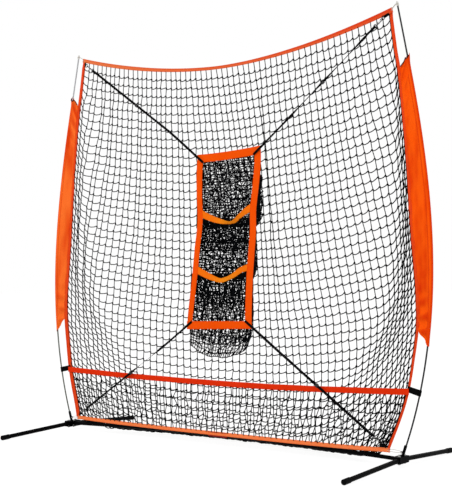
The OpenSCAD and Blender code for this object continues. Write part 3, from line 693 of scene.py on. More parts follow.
def edgeMesh(name, paths, points=()):
    # every path becomes a chain of edges; loose points are marked as knots
    vertices, edges = [], []
    for path in paths:
        start = len(vertices)
        vertices += [tuple(p) for p in path]
        edges += [(start + k, start + k + 1) for k in range(len(path) - 1)]
    loose = len(vertices)
    vertices += [tuple(p) for p in points]
    mesh = bpy.data.meshes.new(name)
    mesh.from_pydata(vertices, edges, [])
    flag = mesh.attributes.new("knot", "BOOLEAN", "POINT")
    flag.data.foreach_set("value", [k >= loose for k in range(len(vertices))])
    return mesh


def runTree(piece, tree, values):
    modifier = piece.modifiers.new("shape", "NODES")
    modifier.node_group = tree
    for item in tree.interface.items_tree:
        if item.in_out == "INPUT" and item.name in values:
            modifier[item.identifier] = values[item.name]
    return bake(piece)


def twinePiece(name, paths, radius, material, knots=(), knotSize=0.0, sides=5):
    piece = addObject(name, edgeMesh(name, paths, knots))
    return runTree(piece, twineTree, {
        "Radius": radius, "Sides": sides, "Knot": knotSize, "Material": material})


def stitchPiece(name, paths, slot, spacing=0.007, length=0.005):
    piece = addObject(name, edgeMesh(name, paths))
    return place(runTree(piece, stitchTree, {
        "Spacing": spacing, "Length": length, "Radius": 0.0006, "Material": orangeThread}), slot)


poles = {
    "radius": 0.004, "ferrule": 0.070, "ferruleWall": 0.0009, "rolled": 0.06,
    "cuts": (0.0142, 0.335, 0.665, 0.994), "gap": 0.0003,       # as shares of the pole's height
}


def makePoles():
    leftFinish = {"lower": greyGlass, "middle": poleGlass, "upper": paleGlass}
    for side in (-1, 1):
        for k, part in enumerate(leftFinish):
            name = f"{sideName(side)}_{part}"
            foot = poles["cuts"][k] + (poles["gap"] if k else 0)
            path = polePoint(np.linspace(foot, poles["cuts"][k + 1], 70), side)
            finish = leftFinish[part] if side < 0 else poleGlass
            place(sweep(name + "_tube", path, circle(poles["radius"], 20), finish),
                  "pole_glassfibre", name + "_pole")


def makeFerrules():
    half = poles["ferrule"] / 2 / (outline["poleTop"] - outline["poleFoot"])
    rings = 24
    rolled = 1 + poles["rolled"] * np.exp(-((fromEdge(rings) - 2.0) ** 2))
    section = circle(poles["radius"] + poles["ferruleWall"], 20)
    pieces = [sweep("ferrule", polePoint(np.linspace(middle - half, middle + half, rings), side),
                    section, zincPlate, scale=rolled[:, None, None])
              for side in (-1, 1) for middle in poles["cuts"][1:3]]
    place(joinPieces("ferrule_sleeves", pieces), "zinc", "pole_ferrules")


makePoles()
makeFerrules()
print("poles made")


target = {
    "front": 0.017, "foot": 0.602, "lean": 73 / 930, "band": 0.043, "thick": 0.0022,
    # outer edges as [height, x]; the sides pull in between the corners
    "left": ((0.592, -0.217), (0.66, -0.2175), (0.80, -0.2065), (1.00, -0.1945), (1.17, -0.185),
             (1.30, -0.198), (1.45, -0.207), (1.521, -0.204)),
    "right": ((0.604, 0.1985), (0.70, 0.1935), (0.85, 0.1915), (1.00, 0.1955), (1.10, 0.1985),
              (1.21, 0.1935), (1.33, 0.203), (1.46, 0.2095), (1.542, 0.204)),
    "leftBand": ((0.592, 0.033), (0.75, 0.034), (1.00, 0.035), (1.17, 0.035), (1.521, 0.041)),
    "rightBand": ((0.604, 0.041), (0.90, 0.040), (1.20, 0.039), (1.542, 0.041)),
    "topSag": 0.006, "cut": (0.42, 0.93),
}


def targetY(z):
    return target["front"] + (np.asarray(z) - target["foot"]) * target["lean"]


def targetX(z):
    # outer edges of the target's left and right bands
    return through(target["left"], z), through(target["right"], z)


pocketMesh = {
    "cell": 0.0152, "margin": 0.008,
    "square": (10, 0.5), "swell": (0.62, 0.93, 2.6),    # form of the swell across, and down
    # unevenness in x, y and z: of clumps of knots and of single knots
    "clump": (0.0125, 0.004, 0.0100), "uneven": (0.0026, 0.004, 0.0028),
    # every inner layer hangs less deep and is gathered more
    "lessDeep": 0.3, "gather": 1.10, "moreGather": 0.10,
}
pockets = {
    "top": {"head": 1.500, "foot": 1.128, "belly": 0.092, "full": 0.70, "streak": 0.5,
            "twine": 0.0024, "tall": 1.0, "rounded": 0.0, "layers": ((0, 1), (0, 1))},
    "middle": {"head": 1.168, "foot": 0.858, "belly": 0.064, "full": 0.68, "streak": 0.6,
               "twine": 0.0025, "tall": 1.0, "rounded": 0.0, "layers": ((0, 1), (0, 1), (0, 0.50))},
    "bottom": {"head": 0.884, "foot": 0.455, "belly": 0.050, "full": 0.55, "streak": 0.22,
               "twine": 0.0026, "tall": 1.3, "rounded": 0.055,
               "layers": ((0, 1), (0, 0.84), (0, 0.40))},
}


def pocketDepth(shape, u, s):
    # how far a pocket hangs behind the target; u runs across from -1 to 1, s from head to foot
    rise = np.clip(s / shape["full"], 0, 1)
    fall = np.clip((s - shape["full"]) / (1 - shape["full"]), 0, 1)
    up, least, down = pocketMesh["swell"]
    swell = rise ** up * np.sqrt(1 - least * fall ** down)
    power, root = pocketMesh["square"]
    return shape["belly"] * swell * (1 - np.clip(np.abs(u), 0, 1) ** power) ** root


def behindTarget(points):
    # the net stays behind the target's bands and passes over its pockets in a soft bulge
    x, z = points[..., 0], points[..., 2]
    depth = np.zeros_like(x)
    reach = netting["bulgeReach"]
    bulge = 1 - np.clip(np.abs(x) / reach, 0, 1) ** 4
    for shape in pockets.values():
        s = (shape["head"] - z) / (shape["head"] - shape["foot"])
        inside = (s > 0) & (s < 1) & (z > target["foot"])
        swell = pocketDepth(shape, 0, np.clip(s, 0, 1)) * bulge
        depth = np.maximum(depth, np.where(inside, swell, 0))
    low, high = netting["bulgeHeights"]
    near = (np.abs(x) < reach) & (z > low) & (z < high)
    return np.where(near, targetY(z) + netting["behindBands"] + depth, netting["front"])


netting = {
    "rows": 56, "columns": 58,
    "rowBar": 0.0445, "columnBar": 0.0455,      # length of a mesh bar in a row and in a column
    # direction of the pull, its strength at the start and what share is left at the end
    "pull": (0, 0.10, -1), "weight": 0.0118, "fade": 0.002,
    "damping": 0.96, "slip": 0.3,               # speed kept in the air, and by twine that rests
    "laceShift": 0.03,                          # the side lacing is a little looser at the top
    # the middle column's depth and height before the net hangs
    "middle": ((-0.010, 0.520, 0.330, 0.025), (0.089, 0.095, 1.150, 1.944)),
    "stiff": 0.85,                              # a row folds to this share of two bars' length
    "steps": 350, "sweeps": 9, "rest": 0.008,
    "rowTwine": 0.0027, "columnTwine": 0.0023, "knot": 0.0046, "knotHeight": 0.0052, "arch": 0.0048,
    "apronRows": 6, "caught": 0.004,            # how far the edge twine is caught inside the trims
    # unevenness in x, y and z: of whole columns, of single knots and of the apron's knots
    "lean": (0.0035, 0.0055), "uneven": (0.0014, 0.0014, 0.0016),
    "apronUneven": (0.0045, 0.002, 0.0038),
    # over the target: how far to both sides, from and to what height, and how far behind the bands
    "bulgeReach": 0.235, "bulgeHeights": (0.575, 1.56), "behindBands": 0.009,
    "front": -0.012,                            # the net comes no further forward anywhere
    "stiffHeights": (0.16, 1.45), "stiffShare": 0.5,
    "slackBelow": 0.12, "settling": 0.1, "stray": 0.0025,
}


base = {
    "half": 1.0562, "rise": 0.021, "rest": 0.070,       # the crossbar's bow, and its top in the middle
    "legEnd": 0.49, "legBack": 0.027, "legTop": 0.060,  # a rear leg folded in behind the crossbar
    "tube": 0.057, "eye": (1.0435, 0.0002, 0.0691),     # the tube's middle, and the right hub's eye
    "restBack": 0.002, "spread": 0.030,                 # over the bar twine lies on its top ...
    "dropBehind": 0.020, "slope": 0.185,                # ... and behind it slopes down to the floor
}


def barTop(x):
    # height at which twine rests on the bowed crossbar
    half, rise = base["half"], base["rise"]
    radius = (half ** 2 + rise ** 2) / (2 * rise)
    return base["rest"] - radius + np.sqrt(radius ** 2 - np.minimum(np.abs(x), 1.05) ** 2)


def legTop(points):
    # the net's foot leaves room above a rear leg that is folded in behind the crossbar
    x, y = np.abs(points[..., 0]), points[..., 1] - base["legBack"]
    return (base["legTop"] * np.clip((x - base["legEnd"]) / 0.04, 0, 1)
            * np.exp(-(y / base["spread"]) ** 2))


def pull(a, b, freeA, freeB, wanted, wrong, weight=1.0):
    # moves the free ends of the wrong bars to the wanted length
    bar = b - a
    size = np.linalg.norm(bar, axis=2)
    movable = freeA + freeB
    share = np.where(wrong(size, wanted) & (movable > 0),
                     (size - wanted) / np.maximum(size, 1e-9) / np.maximum(movable, 1), 0) * weight
    a += bar * (share * freeA)[..., None]
    b -= bar * (share * freeB)[..., None]


def stiffen(points, free, least):
    # twine is a little stiff: a row's second neighbours never come closer than this
    low, high = netting["stiffHeights"]
    for start in range(4):
        b, freeB = points[:, start + 2::4], free[:, start + 2::4]
        count = b.shape[1]
        a, freeA = points[:, start:-2:4][:, :count], free[:, start:-2:4][:, :count]
        z = a[..., 2]
        # the upper net hangs evenly by itself, and its foot lies slack
        weight = netting["stiffShare"] * np.clip((high - z) / 0.5, 0, 1) * (z > low)
        pull(a, b, freeA, freeB, least, np.less, weight)


def tighten(points, free, tied, axis):
    # draws together the ends of every mesh bar that is longer than it was tied
    points, free = points.swapaxes(0, axis), free.swapaxes(0, axis)
    for start in (0, 1):
        pull(points[start:-1:2], points[start + 1::2], free[start:-1:2], free[start + 1::2],
             tied, np.greater)


def restingHeight(points):
    # what holds the slack foot up: the floor, the crossbar or a folded leg
    overBar = np.exp(-((points[..., 1] + base["restBack"]) / base["spread"]) ** 2)
    top = barTop(points[..., 0])
    behind = np.maximum(netting["rest"], top - base["dropBehind"] - base["slope"] * points[..., 1])
    return np.maximum(behind + (top - behind) * overBar, legTop(points))


def settle(points):
    # the slack foot comes to rest smoothly
    inner = points[1:-1, 1:-1]
    mean = (points[:-2, 1:-1] + points[2:, 1:-1] + points[1:-1, :-2] + points[1:-1, 2:]) / 4
    slack = (inner[..., 2] < netting["slackBelow"])[..., None]
    shift = np.where(slack, (mean - inner) * netting["settling"], 0)
    shift[..., 2] = np.minimum(shift[..., 2], 0)
    inner += shift


def relaxNet(points):
    # twine pulls but hardly pushes: knots move until no mesh bar is longer than it was tied
    free = np.ones(points.shape[:2])
    free[0] = free[-1] = 0
    free[:, 0] = free[:, -1] = 0
    before = points.copy()
    steps = netting["steps"]
    for step in range(steps):
        speed = (points - before) * netting["damping"]
        before = points.copy()
        # the weight fades, so the bars come true
        drop = np.array(netting["pull"]) * netting["weight"] * netting["fade"] ** (step / steps)
        points += (speed + drop) * free[..., None]
        for _ in range(netting["sweeps"]):
            tighten(points, free, netting["columnBar"], 0)
            tighten(points, free, netting["rowBar"], 1)
            stiffen(points, free, 2 * netting["stiff"] * netting["rowBar"])
        lowest = restingHeight(points)
        resting = (free > 0) & (points[..., 2] < lowest)
        points[..., 2] = np.where(resting, lowest, points[..., 2])
        slow = points - (points - before) * netting["slip"]
        before = np.where(resting[..., None], slow, before)
        held = np.maximum(points[..., 1], behindTarget(points))
        points[..., 1] = np.where(free > 0, held, points[..., 1])
        if step > steps / 2:
            settle(points)
    return points


def mainNetKnots():
    rows, columns = netting["rows"], netting["columns"]
    inset = outline["trimWidth"] - netting["caught"]
    low = outline["bottomZ"] + inset
    heights = np.linspace(low, topEdge(outline["cornerX"] - inset) - inset, 300)
    turn = sideTurn(heights)
    edge = np.stack([sideX(heights) - 0.011 - 0.008 * np.cos(turn),
                     planeY(heights) + 0.008 * np.sin(turn), heights], 1)
    share = np.linspace(0, 1, rows + 1)
    share = share + netting["laceShift"] * share * (share - 1)
    along = lengths(edge)
    right = np.stack([np.interp(share * along[-1], along, edge[:, k]) for k in range(3)], 1)

    def lacing(corner, height):
        x = np.linspace(-corner[0], corner[0], 300)
        return evenly(np.stack([x, np.full_like(x, corner[1]), height(x)], 1), columns + 1)

    across = np.linspace(-1, 1, columns + 1)
    points = np.zeros((rows + 1, columns + 1, 3))
    for j in range(rows + 1):
        points[j, :, 0] = across * right[j, 0]
        for axis, curve in enumerate(netting["middle"], 1):
            middle = cubic(curve, j / rows) - right[j, axis]
            points[j, :, axis] = right[j, axis] + middle * (1 - across ** 4)
    points[0] = lacing(right[0], lambda x: low - bottomDip(x))
    points[-1] = lacing(right[-1], lambda x: topEdge(x) - inset)
    points[:, 0], points[:, -1] = mirrored(right), right
    return relaxNet(points)


def apronKnots():
    rows, columns = netting["apronRows"], netting["columns"]
    points = np.zeros((rows + 1, columns + 1, 3))
    across = np.linspace(-1, 1, columns + 1)
    trim, caught = outline["trimWidth"], netting["caught"]
    x = across * (sideX(0.2) - trim)
    low = outline["bottomZ"] + trim - caught - bottomDip(x)
    high = catchZ(x) - outline["catchWidth"] / 2 + caught
    for j in range(rows + 1):
        z = low + (high - low) * j / rows
        points[j] = np.stack([across * (sideX(z) - trim),
                              planeY(z) - 0.004 + 0.008 * np.abs(across) ** 12, z], 1)
    return points


def pleat(knots, seed):
    # where the net is slack, whole columns lean out of their even spacing
    rng = np.random.default_rng(seed)
    rows, columns = knots.shape[:2]
    shift = rng.normal(size=(columns, 2)) * np.array(netting["lean"])
    slack = (np.clip((0.35 - knots[..., 0]) / 0.9, 0.10, 1)
             * np.clip((knots[..., 2] - 0.45) / 0.5, 0.15, 1))
    rim, side = fromEdge(rows)[:, None] / 5, fromEdge(columns)[None] / 3
    share = slack * np.clip(rim, 0, 1) * np.clip(side, 0, 1)
    for axis in (0, 1):
        knots[..., axis] += shift[None, :, axis] * share
    knots[1:-1, 1:-1] += rng.normal(size=(rows - 2, columns - 2, 3)) * np.array(netting["uneven"])
    knots[..., 2] = np.maximum(knots[..., 2], np.maximum(netting["rest"], legTop(knots)))
    return knots


def twinePaths(knots, seed):
    # a row's bar leaves a knot at its foot and meets the next at its head, in a low arch
    rng = np.random.default_rng(seed)
    upright = unit(np.gradient(knots, axis=0)) * netting["knotHeight"]
    columns, rows = [], []
    for column, lift in zip(knots.transpose(1, 0, 2), upright.transpose(1, 0, 2)):
        path = [column[0]]
        for k in range(1, len(column) - 1):
            path += [column[k] - lift[k], column[k] + lift[k]]
        columns.append(np.array(path + [column[-1]]))
    for j in range(1, len(knots) - 1):
        for i in range(knots.shape[1] - 1):
            a = knots[j, i] - upright[j, i] * (i > 0)
            b = knots[j, i + 1] + upright[j, i + 1] * (i < knots.shape[1] - 2)
            up = unit(np.cross(b - a, np.array([0, 1.0, 0])))
            up = up * -netting["arch"] * rng.uniform(0.5, 1.5)
            lean = np.array([0, rng.normal() * netting["stray"], 0])
            rows.append(np.array([a, a + (b - a) * 0.3 + up * 0.9 + lean,
                                  a + (b - a) * 0.68 + up + lean, b]))
    for path in columns + rows:
        # nothing sinks into the floor or into a folded leg
        path[:, 2] = np.maximum(path[:, 2], np.maximum(0.5 * netting["rest"], legTop(path) - 0.003))
    return columns, rows


def netPiece(name, knots, node, seed):
    columns, rows = twinePaths(knots, seed)
    bars = [twinePiece("columns", columns, netting["columnTwine"], netTwine),
            twinePiece("rows", rows, netting["rowTwine"], netTwine)]
    place(joinPieces(name, bars), "net_twine", node)
    place(twinePiece(name + "_knots", [], netting["rowTwine"], netTwine,
                     knots[1:-1, 1:-1].reshape(-1, 3), netting["knot"]), "net_twine")


def makeNets():
    netPiece("main_net", pleat(mainNetKnots(), 5), "net_panel", 11)
    apron = apronKnots()
    rng = np.random.default_rng(6)
    inner = apron[1:-1, 1:-1]
    inner += rng.normal(size=inner.shape) * np.array(netting["apronUneven"])
    netPiece("apron_net", apron, "net_apron", 12)


makeNets()
print("nets made")


def setFold(piece, share):
    # share of the second cloth colour at every point of a grid: painted shade on the wings, painted
    # light on the lips and the top trim, with some plain change of tone
    values = piece.data.attributes.new("fold", "FLOAT", "POINT")
    values.data.foreach_set("value", share.astype(np.float32).ravel())


def trimSection(width, thickness):
    # folded binding: flat in the middle, a little fuller along both edges
    section = flat(width, thickness, 7)
    fuller = 1 + 0.22 * (np.abs(section[:, 0]) / (width / 2)) ** 6
    return section * np.stack([np.ones(len(section)), fuller], 1)


def trimPiece(name, path, material, seed, width, turn=0.0, thickness=None, wave=0.0007,
              stitch=0.003):
    # a folded band and the two lines of stitches along its edges
    thickness = thickness or outline["trimThickness"]
    path = path.copy()
    path[:, 1] += smoothNoise(path, seed, 0.22) * wave
    wide = np.broadcast_to(width, len(path))
    scale = np.stack([wide / wide.max(), np.ones(len(path))], 1)[:, None]
    band = sweep(name, path, trimSection(float(wide.max()), thickness), material, turn, scale)
    across, out = pathFrames(path, turn)
    rows = [path + across * (offset * (wide / 2 - stitch))[:, None] + out * (thickness / 2 + 0.0001)
            for offset in (-1, 1)]
    return band, rows


def declareBand(band, node, slot):
    place(band, slot, node)


def makeTrims():
    stitched = []
    halfWidth = outline["trimWidth"] / 2
    x = np.linspace(-outline["cornerX"], outline["cornerX"], 240)
    leftwards = np.clip(-x / 0.6, 0, 1)
    paths = {"top": np.stack([x, np.full_like(x, float(planeY(outline["topZ"]))),
                              topEdge(x) - halfWidth + 0.002 * leftwards], 1)}
    widths = {"top": 0.017 + 0.009 * np.clip(x, 0, 1) ** 1.5 + 0.004 * leftwards,
              "bottom": outline["trimWidth"]}
    foot = float(sideX(outline["bottomZ"] + halfWidth))
    x = np.linspace(-foot, foot, 240)
    z = outline["bottomZ"] + halfWidth
    paths["bottom"] = np.stack([x, np.full_like(x, float(planeY(z))), z - bottomDip(x)], 1)
    low = outline["bottomZ"] + outline["trimWidth"] - netting["caught"]
    high = topEdge(outline["cornerX"] - halfWidth) - 0.003
    z = np.linspace(low, high, 260)
    # the upper end passes behind the top trim
    behind = 0.0031 * np.clip((z - high + 0.045) / 0.02, 0, 1)
    paths["right"] = np.stack([sideX(z) - 0.011, planeY(z) + behind, z], 1)
    paths["left"] = mirrored(paths["right"])
    wide = through(outline["sideWidth"], z)
    widths["right"] = wide - 0.006 * np.clip((0.60 - z) / 0.3, 0, 1)
    widths["left"] = wide + 0.005 * np.clip((z - 1.5) / 0.4, 0, 1)
    turns = {"top": 0.0, "bottom": 0.0, "right": -sideTurn(z), "left": sideTurn(z)}
    materials = {"top": topTrimCloth, "bottom": bottomTrimCloth, "left": trimCloth,
                 "right": trimCloth}
    for k, (name, path) in enumerate(paths.items()):
        band, rows = trimPiece(name + "_binding", path, materials[name], 20 + k, widths[name],
                               turns[name])
        declareBand(band, name + "_trim", "trim_webbing")
        if name == "top":
            # lighter towards the left, and a painted highlight along its lower half
            lower = trimSection(1, 0.1)[:, 0] < 0
            lighterAndHighlight = 0.36 * (1 - path[:, :1] / outline["cornerX"]) + 0.18 * lower[None] - 0.05
            setFold(band, np.clip(lighterAndHighlight, 0, 1))
        stitched += rows
    stitchPiece("trim_stitches", stitched, "trim_webbing")


def makeCatchStrap():
    reach = float(sideX(outline["catchZ"])) - 0.002
    x = np.linspace(-reach, reach, 200)
    y = (float(planeY(outline["catchZ"] - outline["catchWidth"]))
         - outline["trimThickness"] / 2 - 0.0016)
    path = np.stack([x, y - 0.007 * np.abs(x / reach) ** 20, catchZ(x)], 1)
    path[:, 2] += smoothNoise(path, 31, 0.5) * 0.0012
    strap = sweep("catch_webbing", path, flat(outline["catchWidth"], 0.0016), catchWebbing)
    declareBand(strap, "catch_strap", "red_webbing")


wings = {
    # heights at the trim and at the pole
    "left": {"low": (0.632, 0.560), "high": (1.851, 1.902)},
    "right": {"low": (0.632, 0.560), "high": (1.830, 1.889)},
    "tall": 1.27, "cloth": 0.0008, "sleeve": 0.0066, "mouth": 0.022, "shadeCordRadius": 0.0027,
    "rows": 220, "columns": 26,
    # creases at each end: strength, how far they reach, waves across and along, and a shift
    "upper": (1, 0.20, 62, 88, 0.6), "lower": (1.3, 0.17, 78, 92, 0),
    "fold": 0.0060, "pull": 0.0046,             # depth of the creases and of the soft pull
}


def wingSection(width, mouth):
    # from the seam across the panel, once round the pole and back to a hem, as across and out
    sleeve = wings["sleeve"] * (1 + 0.55 * mouth)
    u = np.linspace(0, 1, wings["columns"])
    panel = np.stack([u[None] * (width[:, None] - 0.002), u[None] ** 2 * sleeve[:, None]], -1)
    turn = np.radians(np.linspace(90, -200, 22))[1:]
    loop = np.stack([(width + 0.0045 * mouth)[:, None] + sleeve[:, None] * np.cos(turn)[None],
                     sleeve[:, None] * np.sin(turn)[None]], -1)
    hem = np.linspace(0, 1, 5)[1:]
    flap = np.stack([loop[:, -1:, 0] - hem[None] * 0.014,
                     loop[:, -1:, 1] * (1 - hem[None]) - 0.0006 * hem[None]], -1)
    return np.concatenate([panel, loop, flap], 1)


def wingCreases(x, share, height, soft):
    # slanting folds that fan out from both ends, and a soft pull along the panel:
    # how far the cloth leaves its plane, and how much painted shade it takes
    body = np.clip(4 * share * (1 - share), 0, 1) ** 0.7
    fold = 0
    for end, away in (("upper", wings["tall"] - height), ("lower", height - 0.02)):
        strength, reach, over, up, shift = wings[end]
        fade = np.exp(-(away / reach) ** 2)
        fold = fold + strength * fade * np.sin(x * over - height * up + shift)
    # painted shade in the creases and in the sleeve round the pole, and a darker line along the
    # sleeve's seam
    shade = np.clip(0.22 - 0.75 * soft + 0.60 * body * fold, 0, 1)
    shade = np.maximum(shade, 0.9 * np.exp(-((share - 0.86) / 0.018) ** 2))     # seam of the sleeve
    shade = np.maximum(shade, 0.8 * np.clip((share - 0.97) / 0.06, 0, 1))
    return body * (wings["fold"] * fold + wings["pull"] * soft), shade


def wingGrid(side):
    ends = wings[sideName(side)]
    rows = np.linspace(0, 1, wings["rows"])
    lowZ = ends["low"][0] + (ends["high"][0] - ends["low"][0]) * rows
    poleZ = ends["low"][1] + (ends["high"][1] - ends["low"][1]) * rows
    seam = np.stack([sideX(lowZ) - 0.006, planeY(lowZ) - outline["trimThickness"] / 2 - 0.0005
                     - 0.005 * np.sin(sideTurn(lowZ)), lowZ], 1)
    pole = mirrored(poleAt(poleZ, side), side)
    across = unit(pole - seam)
    out = unit(np.stack([across[:, 1], -across[:, 0], np.zeros(len(rows))], 1))
    width = np.linalg.norm(pole - seam, axis=1)
    mouth = np.exp(-((1 - rows) / 0.022) ** 2) + 0.2 * np.exp(-(rows / 0.015) ** 2)
    section = wingSection(width, mouth)
    grid = seam[:, None] + across[:, None] * section[..., :1] + out[:, None] * section[..., 1:]
    soft = smoothNoise(mirrored(grid * np.array([1.8, 1, 0.5]), side), 41 if side > 0 else 43, 0.17)
    share = np.clip(section[..., 0] / width[:, None], 0, 1.1)
    depth, shade = wingCreases(section[..., 0], share, rows[:, None] * wings["tall"], soft)
    grid = grid + out[:, None] * depth[..., None]
    # the mouth of the sleeve is cut lower at the front
    first = wings["columns"]
    cut = np.zeros(section.shape[1])
    cut[first - 5:first + 9] = np.sin(np.linspace(0.1, math.pi, 14))
    grid[..., 2] -= wings["mouth"] * cut[None] * np.clip((rows[:, None] - 0.93) / 0.07, 0, 1) ** 2
    return mirrored(grid, side), shade


def makeWings():
    for side, cloth in ((1, rightCloth), (-1, leftCloth)):
        name = sideName(side)
        grid, shade = wingGrid(side)
        panel = addObject(name + "_wing_panel", gridMesh(name + "_wing_panel", grid))
        setFold(panel, shade)
        finishMesh(panel, cloth, outwards=False)
        solid = panel.modifiers.new("cloth", "SOLIDIFY")
        solid.thickness = wings["cloth"]
        solid.offset = 0
        bake(panel)
        place(finishMesh(panel, cloth), "orange_fabric", name + "_wing")
        seams = stitchPiece(name + "_wing_stitches", [
            grid[:, 1] + np.array([0, -0.0008, 0]),
            grid[:-14, wings["columns"] - 5] + np.array([0, -0.0009, 0])], "orange_fabric")
        # painted shade: a dark cord along the sleeve's mouth stands in for the shade inside it
        edge = grid[-1, 4:wings["columns"] + 6] + np.array([0, -0.0012, 0.0006])
        hem = place(twinePiece(name + "_mouth_shade_cord", [edge], wings["shadeCordRadius"], mouthShadeCord, sides=8),
                    "orange_fabric")


makeTrims()
makeCatchStrap()
makeWings()
print("trims and wings made")


def makeTargetBands():
    half = target["band"] / 2
    ends = [[(through(target[side], target[side][end][0]), target[side][end][0])
             for side in ("left", "right")] for end in (0, -1)]
    bands, pieces, seams = [], [], []
    for side, inwards in (("left", 1), ("right", -1)):
        z = np.linspace(target[side][0][0] + 0.004, target[side][-1][0] - 0.004, 160)
        wide = through(target[side + "Band"], z)
        x = through(target[side], z) + inwards * wide / 2
        bands.append((np.stack([x, targetY(z) - target["thick"] / 2, z], 1), wide))
    for (a, b), inwards in zip(ends, (1, -1)):
        x = np.linspace(a[0], b[0], 80)
        share = (x - a[0]) / (b[0] - a[0])
        sag = target["topSag"] * 4 * share * (1 - share) if inwards < 0 else 0
        z = a[1] + (b[1] - a[1]) * share + inwards * half - sag
        wide = target["band"] - (0.004 * share if inwards > 0 else 0)
        bands.append((np.stack([x, targetY(z) - target["thick"] * 1.6, z], 1), wide))
    for index, (path, wide) in enumerate(bands):
        band, rows = trimPiece("band", path, bandCloth, 50 + index, wide, thickness=target["thick"],
                               wave=0.0009, stitch=0.0035)
        pieces.append(band)
        seams += rows
    frameBands = place(joinPieces("target_bands", pieces), "orange_fabric", "target_frame")
    stitchPiece("target_stitches", seams, "orange_fabric", spacing=0.006, length=0.0045)


lips = {
    # middle lines as [x, height], then widths and turns along them
    "upper": {"line": ((-0.168, 1.206), (-0.113, 1.184), (-0.059, 1.166), (-0.006, 1.154),
                       (0.032, 1.149), (0.058, 1.155), (0.099, 1.187), (0.144, 1.216),
                       (0.170, 1.229)),
              "width": ((-0.168, 0.038), (-0.10, 0.034), (-0.03, 0.027), (0.03, 0.022),
                        (0.09, 0.024), (0.14, 0.034), (0.17, 0.038)),
              "turn": ((-0.17, 0), (-0.04, 8), (0.035, 58), (0.10, 26), (0.15, 4), (0.17, 0))},
    "lower": {"line": ((-0.172, 0.905), (-0.121, 0.884), (-0.067, 0.864), (-0.014, 0.850),
                       (0.012, 0.854), (0.062, 0.872), (0.111, 0.902), (0.136, 0.911),
                       (0.165, 0.919)),
              "width": ((-0.172, 0.038), (-0.10, 0.034), (-0.03, 0.025), (0.04, 0.022),
                        (0.10, 0.027), (0.165, 0.035)),
              "turn": ((-0.172, 0), (-0.02, 6), (0.04, 24), (0.10, 10), (0.165, 0))},
}


def makeLips():
    for index, (name, lip) in enumerate(lips.items()):
        x = np.linspace(lip["line"][0][0], lip["line"][-1][0], 110)
        z = through(lip["line"], x)
        end = np.maximum(0, np.abs(x) / 0.17) ** 3
        path = np.stack([x, targetY(z) + 0.0012 - 0.004 * (1 - end), z], 1)
        band, rows = trimPiece(name + "_lip_band", path, lipCloth, 56 + index,
                               through(lip["width"], x), np.radians(through(lip["turn"], x)),
                               target["thick"], stitch=0.004)
        # painted light: each lip is lighter along its middle
        middle = np.exp(-((x - 0.02) / 0.075) ** 2)[:, None]
        setFold(band, middle * np.ones((1, len(trimSection(1, 0.1)))))
        declareBand(band, name + "_divider", "lip_webbing")
        stitchPiece(name + "_lip_stitches", rows, "lip_webbing", spacing=0.006, length=0.0045)


def pocketLayer(shape, seed, layer, span):
    # one hanging layer of fine net, evenly spread round its belly and puckered all over
    head, foot, belly = shape["head"], shape["foot"], shape["belly"]
    depthShare = 1 - pocketMesh["lessDeep"] * layer
    gather = pocketMesh["gather"] + pocketMesh["moreGather"] * layer
    left, right = targetX(head - (head - foot) * 0.5)
    centre, reach = (left + right) / 2, (right - left) / 2 - pocketMesh["margin"]
    fine = np.linspace(-1, 1, 400)
    section = np.stack([fine * reach, pocketDepth(shape, fine, shape["full"]), 0 * fine], 1)
    round_ = lengths(section)
    columns = int(round_[-1] * gather / pocketMesh["cell"])
    rows = int((head - foot + belly) * 1.08 * (span[1] - span[0])
               / pocketMesh["cell"] / shape["tall"])
    across = np.interp(np.linspace(0, round_[-1], columns), round_, fine)
    u, s = np.meshgrid(across, np.linspace(span[0], span[1], rows))
    z = head - (head - foot - shape["rounded"] * np.abs(u) ** 2.6) * s
    depth = depthShare * pocketDepth(shape, u, s)
    points = np.stack([centre + u * reach, targetY(z) + 0.003 + depth, z], -1)
    rng = np.random.default_rng(seed)
    loose = np.minimum(1, 6 * s * (1 - s) + 0.25) * np.minimum(1, 5 * (1 - np.abs(u)) + 0.15)
    points[..., 1] += smoothNoise(points, seed, 0.09, 3) * 0.012 * loose * depthShare
    # the fine mesh bunches: knots draw together into dark clumps and leave small holes
    upright = points * np.array([1, 1, shape["streak"]])
    clump = np.stack([smoothNoise(upright, seed + 100, 0.030, 2),
                      smoothNoise(points, seed + 101, 0.034, 2),
                      smoothNoise(points, seed + 102, 0.034, 2)], -1)
    points += clump * np.array(pocketMesh["clump"]) * loose[..., None]
    points += rng.normal(size=points.shape) * np.array(pocketMesh["uneven"]) * loose[..., None]
    points[..., 0] = np.clip(points[..., 0], centre - reach - 0.002, centre + reach + 0.002)
    points[..., 1] = np.maximum(points[..., 1], targetY(points[..., 2]) + 0.0036)
    return points


def foldUnder(points, layer):
    # below the bottom band the bag comes to the front and its foot folds under
    below = np.clip((target["foot"] + 0.02 - points[..., 2]) / 0.16, 0, 1)
    points[..., 0] *= 1 - 0.10 * below ** 2
    points[..., 0] += 0.018 * np.sqrt(below) * np.clip(-points[..., 0] / 0.19, 0, 1)
    points[..., 1] += (0.012 * layer - 0.016) * below


def makePockets():
    for index, (name, shape) in enumerate(pockets.items()):
        paths = []
        for layer, span in enumerate(shape["layers"]):
            points = pocketLayer(shape, 60 + 7 * index + layer, layer, span)
            if name == "bottom":
                foldUnder(points, layer)
            paths += list(points) + list(points.transpose(1, 0, 2))
        place(twinePiece(name + "_bag", paths, shape["twine"], pocketTwine, sides=4),
              "pocket_mesh", name + "_pocket")


makeTargetBands()
makeLips()
makePockets()
print("target made")


